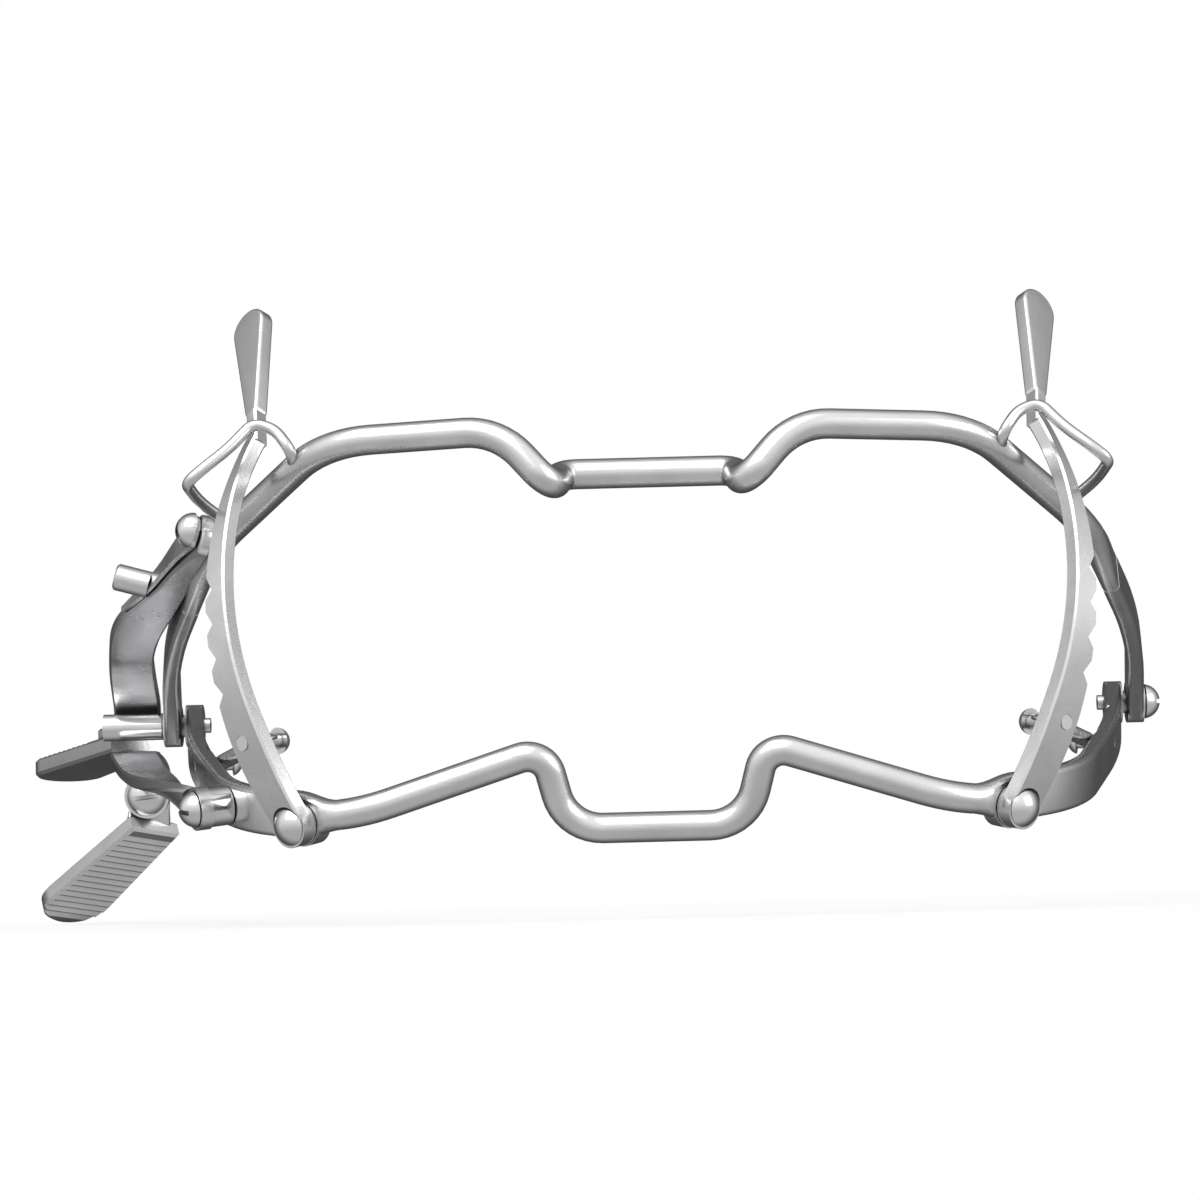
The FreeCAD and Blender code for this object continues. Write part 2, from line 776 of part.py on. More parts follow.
def right_hinge_screw():
    """Slotted screw through the right arm into the strap."""
    outside = size("arm_span") / 2 + size("flat_thickness") / 2 + size("side_gap")
    inside = size("strap_span") / 2 - size("flat_thickness") / 2
    solid = domed_pin(Vector(outside, 0, 0), Vector(1, 0, 0), size("hinge_head_diameter"),
                      size("hinge_head_height"), size("hinge_pin_diameter"), outside - inside,
                      Vector(0, 1, 0))
    tip = Part.makeCylinder(size("hinge_tip_diameter") / 2, size("hinge_tip_length"),
                            Vector(inside - size("hinge_tip_length"), 0, 0), Vector(1, 0, 0))
    return solid.fuse(tip).removeSplitter()


def left_hinge_pin():
    """Plain pin through the left strap and arm, with a shoulder end inside."""
    outside = size("arm_span") / 2 + size("flat_thickness") / 2 + size("side_gap")
    inside = size("strap_span") / 2 - size("flat_thickness") / 2
    length = outside - inside + size("barrel_length")
    pin = Part.makeCylinder(size("hinge_pin_diameter") / 2, outside - inside,
                            Vector(-outside, 0, 0), Vector(1, 0, 0))
    core = Part.makeCylinder(size("hinge_tip_diameter") / 2, length + size("hinge_tip_length"),
                             Vector(-outside - size("barrel_length"), 0, 0), Vector(1, 0, 0))
    return pin.fuse(core).removeSplitter()


def hinge_barrel():
    """Sleeve on the left hinge pin that the two levers bear on."""
    outside = size("arm_span") / 2 + size("flat_thickness") / 2 + size("side_gap")
    length = size("barrel_length")
    sleeve = Part.makeCylinder(size("barrel_diameter") / 2, length,
                               Vector(-outside - length, 0, 0), Vector(1, 0, 0))
    bore = Part.makeCylinder(size("hinge_tip_diameter") / 2 + 0.02, length,
                             Vector(-outside - length, 0, 0), Vector(1, 0, 0))
    return sleeve.cut(bore)


# Lever pair on the left, drawn in place

def lever_mount(path, distance, angle):
    """Point and outward direction at a distance along a frame's left side."""
    point, along = stations(path, [distance])[0]
    outward = unit(upward(angle).cross(along))
    if outward.x < 0:
        outward = outward * -1
    return Vector(-point.x, point.y, point.z), Vector(-outward.x, outward.y, outward.z)


def upper_mount():
    """Seat of the upper lever on the left shoulder of the upper bow."""
    path = upper_side_path(upper_corners())
    return lever_mount(path, path.Length - 10.5, UPPER)


def lower_mount():
    """Seat of the lower lever on the left strap."""
    corners = lower_corners()
    path = rounded_path(corners[:4] + [side_split(corners, 3)])
    return lever_mount(path, path.Length - 32.0, LOWER)


def plate_axes(along, across):
    """Run, width and outer normal of a finger plate."""
    along = unit(along)
    across = square_to(across, along)
    return along, across, along.cross(across)


UPPER_PLATE = plate_axes(Vector(-0.57, 0.80, -0.18), Vector(0.82, 0.56, -0.10))
LOWER_PLATE = plate_axes(Vector(-0.63, 0.57, -0.53), Vector(0.74, 0.64, -0.19))
FLANGE = plate_axes(Vector(0, 0.06, -1), Vector(1, 0, 0))


def lever_middle_x():
    """Middle of the barrel, where the levers cross the hinge axis."""
    outside = size("arm_span") / 2 + size("flat_thickness") / 2 + size("side_gap")
    return -outside - size("barrel_length") / 2


def lever_offset():
    """Distance of a lever's middle surface from the hinge axis."""
    return size("barrel_diameter") / 2 + size("lever_thickness") / 2 + size("side_gap")


def upper_plate_root():
    """Centre of the lever's tail, on which the upper finger plate is seated."""
    return Vector(lever_middle_x() - 0.6, 6.5, -0.5)


def lower_plate_root():
    """Centre of the lower finger plate's inner end."""
    return Vector(lever_middle_x() + 2.1, 3.0, -13.4)


def flange_centre():
    """Centre of the lower lever's flange, where the screw of the finger plate sits."""
    return Vector(lever_middle_x() + 1.3, 2.2, -9.3)


def upper_places():
    """Stations of the upper lever: point, width direction, run and width."""
    seat, outward = upper_mount()
    start = seat + outward * (size("rod_diameter") / 2 + 0.05 + size("lever_thickness") / 2)
    flat, width = Vector(1, 0, 0), size("lever_width")
    middle, offset = lever_middle_x(), lever_offset()
    up, back = upward(UPPER), forward(UPPER) * -1
    root, (plate_along, plate_across, _) = upper_plate_root(), UPPER_PLATE
    head = unit(on_frame(UPPER, -57.3, 43.9) - on_frame(UPPER, -55.0, 51.9))
    knee = on_frame(UPPER, -64.3, 29.8) - on_frame(UPPER, -57.9, 43.4)
    turn = on_frame(UPPER, -67.2, 22.0) - on_frame(UPPER, -62.5, 33.6)
    return [
        (start, up, head, size("lever_root_width")),
        (on_frame(UPPER, -57.9, 43.4, 0.2), up * 0.95 - flat * 0.3, head, 5.0),
        (on_frame(UPPER, -61.2, 36.6, 0.6), up * 0.7 - flat * 0.75, knee, 5.6),
        (on_frame(UPPER, -65.0, 29.4, 1.3), up * 0.2 - flat, turn, 6.0),
        (on_frame(UPPER, -67.4, 20.0, 2.0), flat * -1, back - flat * 0.15, width),
        (on_frame(UPPER, -68.6, 10.0, offset), flat * -1, back, width),
        (on_frame(UPPER, middle, 0.0, offset), flat * -1, back, width),
        (Vector(middle, offset + 0.9, 0.7), flat * -1, Vector(0, 0.75, -0.66), width),
        (root, plate_across * -1, plate_along, width),
        (root + plate_along * 5.5, plate_across * -1, plate_along, width),
    ]


def upper_lever():
    """Upper lever: eye on the bow, twisted C-shaped strap over the barrel, seat for its plate."""
    _, outward = upper_mount()
    thickness = size("lever_thickness")
    places = upper_places()
    start = places[0][0]
    solid = strap(places, thickness)
    solid = solid.fuse(disc(start, outward, size("lever_root_width") + 1.0, thickness))
    shank = size("lever_screw_shank_diameter")
    solid = solid.cut(head_room(start + outward * thickness / 2, outward, 5.4))
    solid = solid.cut(press_hole(start, outward, shank))
    foot, normal = upper_plate_screw_foot(), UPPER_PLATE[2] * -1
    solid = solid.cut(press_hole(foot, normal, shank))
    return solid.cut(head_room(foot, normal, 3.6)).removeSplitter()


def upper_plate_screw_foot():
    """Underside of the head of the upper plate's screw."""
    along, _, normal = UPPER_PLATE
    return upper_plate_root() + along * 3.0 - normal * (size("lever_thickness") / 2 + 0.05)


def lower_places():
    """Stations of the lower lever: point, width direction, run and width."""
    seat, outward = lower_mount()
    thickness = size("lever_thickness")
    start = seat + outward * (size("flat_thickness") / 2 + size("boss_length") + 0.1 + thickness / 2)
    flat, width = Vector(1, 0, 0), size("lever_width")
    middle, offset = lever_middle_x(), lever_offset()
    up, back = upward(LOWER), forward(LOWER) * -1
    flange, (down, _, _) = flange_centre(), FLANGE
    return [
        (start, up, unit(start.cross(up)), size("lever_root_width")),
        (on_frame(LOWER, -57.6, 48.0, 0.0), up * 0.8 - flat * 0.6, back - flat * 0.75, 4.8),
        (on_frame(LOWER, -61.2, 38.0, -0.4), up * 0.25 - flat, back - flat * 0.45, 5.2),
        (on_frame(LOWER, -64.9, 26.0, -1.3), flat * -1, back - flat * 0.25, 5.8),
        (on_frame(LOWER, -67.6, 14.0, -2.2), flat * -1, back - flat * 0.1, width),
        (on_frame(LOWER, middle + 0.8, 6.0, -offset), flat * -1, back, width),
        (Vector(middle + 1.0, -0.6, -4.6), flat * -1, Vector(0, 0.8, -0.6), width),
        (flange - down * 3.4, flat * -1, down, width),
        (flange + down * 1.5, flat * -1, down, 5.0),
    ]


def lower_lever():
    """Lower lever: eye on the boss, strap under the barrel, flange for its plate."""
    _, outward = lower_mount()
    thickness = size("lever_thickness")
    places = lower_places()
    start = places[0][0]
    outer, normal = flange_centre(), FLANGE[2]
    solid = strap(places, thickness)
    solid = solid.fuse(disc(start, outward, size("boss_diameter") + 0.4, thickness))
    solid = solid.fuse(disc(outer, normal, size("plate_screw_head_diameter") + 0.6, thickness))
    half = thickness / 2
    shank = size("lever_screw_shank_diameter")
    solid = solid.cut(head_room(start + outward * half, outward, 5.2))
    solid = solid.cut(head_room(start - outward * half, outward * -1, 4.8))
    solid = solid.cut(press_hole(start, outward, shank))
    solid = solid.cut(head_room(outer + normal * half, normal, size("plate_screw_head_diameter")))
    return solid.cut(press_hole(outer, normal, shank)).removeSplitter()


def finger_plate(root, axes, length, grooved, plain):
    """Finger plate: blade with a rounded end and cross grooves on one face after a plain stretch."""
    along, across, normal = axes
    small, large = size("plate_root_width") / 2, size("plate_width") / 2
    span = length - large
    high = root + along * span
    turn = math.atan2(-span, small) + math.acos(large / math.hypot(span, small))

    def rim(angle):
        """Point of the rounded end, its angle counted from across."""
        return high + (across * math.cos(angle) + along * math.sin(angle)) * large

    right, left = root + across * small, root - across * small
    edges = [
        Part.LineSegment(right, rim(turn)).toShape(),
        Part.Arc(rim(turn), rim(math.pi / 2), rim(math.pi - turn)).toShape(),
        Part.LineSegment(rim(math.pi - turn), left).toShape(),
        Part.LineSegment(left, right).toShape(),
    ]
    thickness = size("plate_thickness")
    plate = Part.Face(Part.Wire(edges)).extrude(normal * thickness)
    plate.translate(normal * -thickness / 2)
    rims = [edge for edge in plate.Edges if edge.Length > 1.5 * thickness]
    plate = plate.makeChamfer(size("plate_chamfer"), rims)
    pitch, depth = size("groove_pitch"), size("groove_depth")
    clear = 0.3
    count = int((length - plain - pitch / 2) / pitch)
    grooves = []
    for index in range(count):
        middle = root + along * (plain + pitch * index) + normal * (thickness / 2 * grooved)
        side = across * size("plate_width")
        out = normal * grooved
        half = pitch * 0.42 * (1 + clear / depth)
        corners = [middle - out * depth, middle + along * half + out * clear,
                   middle - along * half + out * clear]
        outline = [corner - side for corner in corners]
        grooves.append(Part.Face(Part.makePolygon(outline + [outline[0]])).extrude(side * 2))
    return plate.cut(grooves)


def upper_finger_plate():
    """Upper finger plate, seated under the upper lever's tail and grooved on its upper face."""
    along, _, normal = UPPER_PLATE
    lift = size("plate_thickness") / 2 + size("lever_thickness") / 2 + 0.05
    root = upper_plate_root() + normal * lift
    plate = finger_plate(root, UPPER_PLATE, size("upper_plate_length"), -1, 7.6)
    hole = disc(root + along * 3.0, normal, size("lever_screw_shank_diameter") + 0.04, 6)
    return plate.cut(hole)


def lower_finger_plate():
    """Lower finger plate: grooved blade whose bent tongue is seated behind the flange."""
    root, (along, across, normal) = lower_plate_root(), LOWER_PLATE
    blade = finger_plate(root, LOWER_PLATE, size("lower_plate_length"), 1, 2.2)
    down, wide, face = FLANGE
    thickness = size("lever_thickness")
    top = flange_centre() - face * (thickness + 0.05)
    middle = root - normal * (size("plate_thickness") - thickness) / 2
    places = [
        (top - down * 2.2, wide, down, 5.0),
        (top + down * 0.8, wide, down, 5.4),
        (middle + along * 2.2, across, along, 6.6),
        (middle + along * 4.2, across, along, 6.6),
    ]
    tongue = strap(places, thickness, 0.25)
    hole = disc(top, face, size("lever_screw_shank_diameter") + 0.04, 4)
    return blade.fuse(tongue).cut(hole).removeSplitter()


def lower_plate_screw():
    """Slotted screw that holds the lower finger plate's tongue on the flange."""
    thickness = size("lever_thickness")
    return domed_pin(flange_centre() + FLANGE[2] * (thickness / 2 + 0.05), FLANGE[2],
                     size("plate_screw_head_diameter"), size("plate_screw_head_height"),
                     size("lever_screw_shank_diameter"), 2 * thickness + 0.1, Vector(1, 0, 0.1))


def upper_plate_screw():
    """Screw that holds the upper finger plate under the lever's tail."""
    length = size("lever_thickness") + size("plate_thickness") + 0.1
    return domed_pin(upper_plate_screw_foot(), UPPER_PLATE[2] * -1, 3.6, 1.0,
                     size("lever_screw_shank_diameter"), length, Vector(1, 0, 0.1))


def upper_lever_screw():
    """Slotted screw that holds the upper lever and its backing on the bow."""
    seat, outward = upper_mount()
    top = size("rod_diameter") / 2 + size("lever_thickness") + size("backing_thickness") + 0.2
    return domed_pin(seat + outward * top, outward, size("lever_screw_head_diameter"),
                     size("lever_screw_head_height"), size("lever_screw_shank_diameter"), top,
                     Vector(0, 0.3, 1))


def backing_places():
    """Stations of the backing strap, laid on the outside of the upper lever."""
    _, outward = upper_mount()
    above = size("lever_thickness") / 2 + size("seat_gap") + size("backing_thickness") / 2
    places = []
    for index, (point, across, along, _) in enumerate(upper_places()[:4]):
        across = square_to(across, along)
        normal = across.cross(unit(along))
        if normal.dot(outward) < 0:
            normal = normal * -1
        shift = 0.0 if index == 0 else 0.8
        places.append((point + normal * above + across * shift, across, along, 3.6))
    return places


def upper_lever_backing():
    """Thin strap on the outside of the upper lever, from its screw to past the stop peg."""
    seat, outward = upper_mount()
    thickness = size("backing_thickness")
    level = size("rod_diameter") / 2 + 0.05 + size("lever_thickness") + size("seat_gap")
    start = seat + outward * (level + thickness / 2)
    solid = strap(backing_places(), thickness).fuse(disc(start, outward, 4.2, thickness))
    room = head_room(start + outward * thickness / 2, outward, size("lever_screw_head_diameter"))
    hole = press_hole(start, outward, size("lever_screw_shank_diameter"))
    return solid.cut(room).cut(hole).removeSplitter()


def stop_peg():
    """Stub peg that stands on the backing strap and stops the fingers."""
    _, outward = upper_mount()
    point, across, along, _ = backing_places()[2]
    normal = across.cross(unit(along))
    if normal.dot(outward) < 0:
        normal = normal * -1
    start = point + normal * (size("backing_thickness") / 2 + 0.15)
    peg = Part.makeCylinder(size("peg_diameter") / 2, size("peg_length"), start, normal)
    return peg.makeChamfer(0.2, [peg.Edges[0]])


def lower_lever_boss():
    """Spacer between the left strap and the lower lever."""
    seat, outward = lower_mount()
    start = seat + outward * (size("flat_thickness") / 2 + 0.05)
    outer = Part.makeCylinder(size("boss_diameter") / 2, size("boss_length"), start, outward)
    bore = Part.makeCylinder(size("lever_screw_shank_diameter") / 2 + 0.05, size("boss_length"),
                             start, outward)
    return outer.cut(bore)


def lower_lever_screw():
    """Slotted screw that holds the lower lever on its boss."""
    seat, outward = lower_mount()
    top = size("flat_thickness") / 2 + size("boss_length") + size("lever_thickness") + 0.2
    return domed_pin(seat + outward * top, outward, size("lever_screw_head_diameter"),
                     size("lever_screw_head_height"), size("lever_screw_shank_diameter"), top,
                     Vector(0, 1, 0.2))


# Build every piece

def screw_hole(frame, seat, outward):
    """Frame with a tapped hole for a lever screw."""
    return frame.cut(press_hole(seat, outward, size("lever_screw_shank_diameter")))


upper_frame = screw_hole(upper_bow(), *upper_mount())
lower_frame = screw_hole(lower_bow(), *lower_mount())
node("upper_bow", upper_frame)
node("lower_bow", lower_frame)
paired = {
    "guide_loop": guide_loop(upper_bow()),
    "ratchet_bar": ratchet_bar(),
    "ratchet_rivet": rivet(),
    "ratchet_stud": ratchet_stud(),
    "spring_post": spring_post(),
    "ratchet_spring": ratchet_spring(),
}
for piece_name, shape in paired.items():
    for side_name, sign in SIDES.items():
        node(f"{side_name}_{piece_name}", mirrored(shape, sign))
upper_arm = upper_lever()
lower_arm = lower_lever()
node("upper_lever", upper_arm)
node("lower_lever", lower_arm)
node("upper_lever_backing", upper_lever_backing())
node("upper_finger_plate", upper_finger_plate().cut(upper_arm))
node("lower_finger_plate", lower_finger_plate().cut(lower_arm))
single = [right_hinge_screw, left_hinge_pin, hinge_barrel, upper_lever_screw, stop_peg,
          upper_plate_screw, lower_lever_boss, lower_lever_screw, lower_plate_screw]
for make in single:
    node(make.__name__, make())

# Check and export

doc.recompute()
for item in doc.Objects:
    if "Invalid" in item.State or "Error" in item.State:
        raise RuntimeError(f"{item.Label} failed to build")
for piece in NODES:
    if piece.Shape.isNull() or not piece.Shape.isValid():
        raise RuntimeError(f"{piece.Label} has no valid shape")
os.makedirs("parts", exist_ok=True)
for piece in NODES:
    piece.Shape.exportStep(os.path.join("parts", f"{piece.Label}.step"))
print(f"{len(NODES)} parts written")
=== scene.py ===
"""Looks of a mouth gag: satin steel bows, notched side bars, wire springs and a squeeze lever."""

import json
import logging
import math
from dataclasses import dataclass, field
from enum import Enum

import bpy
from mathutils import Matrix, Vector


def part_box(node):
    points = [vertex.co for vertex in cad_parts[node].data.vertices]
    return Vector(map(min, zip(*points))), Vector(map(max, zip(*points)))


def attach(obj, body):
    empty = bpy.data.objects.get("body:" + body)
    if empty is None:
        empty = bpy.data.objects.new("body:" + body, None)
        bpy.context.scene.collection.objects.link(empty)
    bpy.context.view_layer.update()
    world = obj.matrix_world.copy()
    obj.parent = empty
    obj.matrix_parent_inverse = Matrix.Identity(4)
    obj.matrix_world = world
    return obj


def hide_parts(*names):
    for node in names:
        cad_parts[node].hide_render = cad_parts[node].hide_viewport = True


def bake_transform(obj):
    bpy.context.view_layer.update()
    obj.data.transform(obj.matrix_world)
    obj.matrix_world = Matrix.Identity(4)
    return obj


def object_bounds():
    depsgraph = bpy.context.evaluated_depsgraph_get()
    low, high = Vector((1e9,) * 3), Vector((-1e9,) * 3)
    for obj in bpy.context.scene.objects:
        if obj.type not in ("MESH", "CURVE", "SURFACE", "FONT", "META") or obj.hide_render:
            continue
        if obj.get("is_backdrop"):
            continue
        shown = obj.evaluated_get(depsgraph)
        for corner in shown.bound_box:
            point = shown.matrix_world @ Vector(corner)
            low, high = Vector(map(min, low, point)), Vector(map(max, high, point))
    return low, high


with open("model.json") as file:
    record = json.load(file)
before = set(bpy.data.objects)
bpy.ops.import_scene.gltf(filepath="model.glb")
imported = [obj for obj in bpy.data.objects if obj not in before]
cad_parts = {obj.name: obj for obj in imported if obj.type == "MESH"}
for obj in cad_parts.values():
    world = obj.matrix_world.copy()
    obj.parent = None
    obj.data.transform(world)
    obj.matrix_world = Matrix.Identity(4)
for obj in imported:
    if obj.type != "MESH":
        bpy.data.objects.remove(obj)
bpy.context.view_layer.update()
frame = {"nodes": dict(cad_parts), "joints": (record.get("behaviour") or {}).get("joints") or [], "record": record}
log = logging.getLogger("mouth_gag")

MM = 0.001
PHOTO_WIDTH = 1200.0  # in pixels
CREASE = math.radians(28.0)
Colour = tuple[float, float, float, float]
Span = tuple[float, float]
Sockets = bpy.types.bpy_prop_collection

# Kinds of socket
FLOAT = "NodeSocketFloat"
VECTOR = "NodeSocketVector"
MATERIAL = "NodeSocketMaterial"
GEOMETRY = "NodeSocketGeometry"


class Side(Enum):
    """Sides of the gag, as seen from the front."""

    RIGHT = "right"
    LEFT = "left"


class Finish(Enum):
    """Finishes of the gag's pieces."""

    SATIN = "satin steel"
    POLISHED = "polished steel"
    WIRE = "drawn spring wire"


@dataclass(frozen=True)
class SteelFinish:
    """One steel finish: its colours, its gloss, the marks that making and use leave on it, and the shade painted
    into its corners and rim.

    Args:
        colour: Colour of the clean metal.
        painted_shade: Colour of the shade painted into corners and onto the rim.
        roughness: Middle value of the surface roughness.
        unevenness: How far roughness swings over the surface.
        grain: Height of the brushed grain, in metres.
        grain_scale: Grain lines for each metre, along X, Y and Z.
        dents: Height of the soft waves left by bending and hammering, in metres.
        shade_reach: Distance from a corner that the painted shade reaches, in metres.
        shade_strength: Share of painted shade in the deepest corner.
        edge_radius: Radius of the worn edges, in metres.
    """

    colour: Colour
    painted_shade: Colour
    roughness: float
    unevenness: float
    grain: float
    grain_scale: tuple[float, float, float]
    dents: float
    shade_reach: float
    shade_strength: float
    edge_radius: float


# Each finish's painted_shade colour is painted shade, laid into corners and onto the rim.
FINISHES: dict[Finish, SteelFinish] = {
    Finish.SATIN: SteelFinish(
        colour=(0.84, 0.84, 0.85, 1.0),
        painted_shade=(0.10, 0.10, 0.105, 1.0),
        roughness=0.24,
        unevenness=0.10,
        grain=6e-6,
        grain_scale=(900.0, 5200.0, 5200.0),
        dents=2.5e-5,
        shade_reach=1.6 * MM,
        shade_strength=0.75,
        edge_radius=0.22 * MM,
    ),
    Finish.POLISHED: SteelFinish(
        colour=(0.86, 0.86, 0.87, 1.0),
        painted_shade=(0.07, 0.07, 0.075, 1.0),
        roughness=0.16,
        unevenness=0.07,
        grain=2e-6,
        grain_scale=(6000.0, 6000.0, 6000.0),
        dents=6e-6,
        shade_reach=0.9 * MM,
        shade_strength=0.85,
        edge_radius=0.12 * MM,
    ),
    Finish.WIRE: SteelFinish(
        colour=(0.62, 0.62, 0.63, 1.0),
        painted_shade=(0.06, 0.06, 0.065, 1.0),
        roughness=0.24,
        unevenness=0.08,
        grain=1.5e-6,
        grain_scale=(9000.0, 9000.0, 9000.0),
        dents=3e-6,
        shade_reach=0.5 * MM,
        shade_strength=0.8,
        edge_radius=0.05 * MM,
    ),
}

SLOT_OF_FINISH: dict[Finish, str] = {
    Finish.SATIN: "satin_steel",
    Finish.POLISHED: "polished_steel",
    Finish.WIRE: "spring_steel",
}
FINISH_OF_SLOT: dict[str, Finish] = {slot: finish for finish, slot in SLOT_OF_FINISH.items()}


class NodeTree:
    """Small helper that adds nodes to a tree and joins them by socket name."""

    # Sockets of a colour mix, which share their names with those of other data types
    FIRST_COLOUR = 6
    SECOND_COLOUR = 7
    MIXED_COLOUR = 2

    def __init__(self, tree: bpy.types.NodeTree) -> None:
        """Keep the tree that nodes go into."""
        self.tree = tree

    @classmethod
    def cleared(cls, owner: bpy.types.Material | bpy.types.World) -> "NodeTree":
        """Start a material or a world with no nodes.

        Args:
            owner: The material or the world.

        Returns:
            Its empty tree.
        """
        owner.use_nodes = True
        owner.node_tree.nodes.clear()
        return cls(owner.node_tree)

    def add(
        self, kind: str, feeds: dict[str | int, object] | None = None, **settings: object
    ) -> bpy.types.Node:
        """Add a node.

        Args:
            kind: Blender's identifier of the node type.
            feeds: What goes into each input: a socket to join, or a plain value.
            settings: Properties to set on the node.

        Returns:
            The new node.
        """
        node = self.tree.nodes.new(kind)
        for name, value in settings.items():
            setattr(node, name, value)
        for name, value in (feeds or {}).items():
            if isinstance(value, bpy.types.NodeSocket):
                self.join(value, node.inputs[name])
            else:
                node.inputs[name].default_value = value
        return node

    def join(self, source: bpy.types.NodeSocket, target: bpy.types.NodeSocket) -> None:
        """Join an output socket to an input socket."""
        self.tree.links.new(source, target)

    def math(self, operation: str, first: object, second: object = None) -> bpy.types.NodeSocket:
        """Add a math node.

        Args:
            operation: Name of the operation, such as MULTIPLY.
            first: First operand, a socket or a number.
            second: Second operand, a socket, a number or None.

        Returns:
            The node's result.
        """
        feeds = {0: first} if second is None else {0: first, 1: second}
        return self.add("ShaderNodeMath", feeds, operation=operation).outputs[0]

    def vector(
        self, operation: str, first: bpy.types.NodeSocket, second: bpy.types.NodeSocket | None = None
    ) -> bpy.types.NodeSocket:
        """Add a vector math node.

        Args:
            operation: Name of the operation.
            first: First operand.
            second: Second operand, which is the factor where the operation is SCALE, or None.

        Returns:
            The node's vector, or its number where the operation gives one.
        """
        node = self.add("ShaderNodeVectorMath", {0: first}, operation=operation)
        if second is not None:
            self.join(second, node.inputs["Scale" if operation == "SCALE" else 1])
        return node.outputs[1 if operation in ("DOT_PRODUCT", "LENGTH") else 0]

    def mix(
        self, share: bpy.types.NodeSocket, first: object, second: object
    ) -> bpy.types.NodeSocket:
        """Mix two colours.

        Args:
            share: Share of the second colour.
            first: First colour, a socket or a value.
            second: Second colour, a socket or a value.

        Returns:
            The mixed colour.
        """
        feeds = {self.FIRST_COLOUR: first, self.SECOND_COLOUR: second, "Factor": share}
        node = self.add("ShaderNodeMix", feeds, data_type="RGBA")
        return node.outputs[self.MIXED_COLOUR]

    def ramp(
        self,
        source: bpy.types.NodeSocket,
        reach: Span,
        values: Span = (0.0, 1.0),
    ) -> bpy.types.NodeSocket:
        """Add a smooth ramp.

        Args:
            source: The socket that drives the ramp.
            reach: Start and end of the ramp.
            values: Values at its start and end.

        Returns:
            The ramp's value.
        """
        feeds = {
            "Value": source,
            "From Min": reach[0],
            "From Max": reach[1],
            "To Min": values[0],
            "To Max": values[1],
        }
        node = self.add("ShaderNodeMapRange", feeds, interpolation_type="SMOOTHSTEP")
        return node.outputs[0]


def in_scene(name: str, data: bpy.types.ID) -> bpy.types.Object:
    """Put an object in the scene.

    Args:
        name: Name of the object.
        data: Its mesh, lamp or camera.

    Returns:
        The object.
    """
    made = bpy.data.objects.new(name, data)
    bpy.context.scene.collection.objects.link(made)
    return made


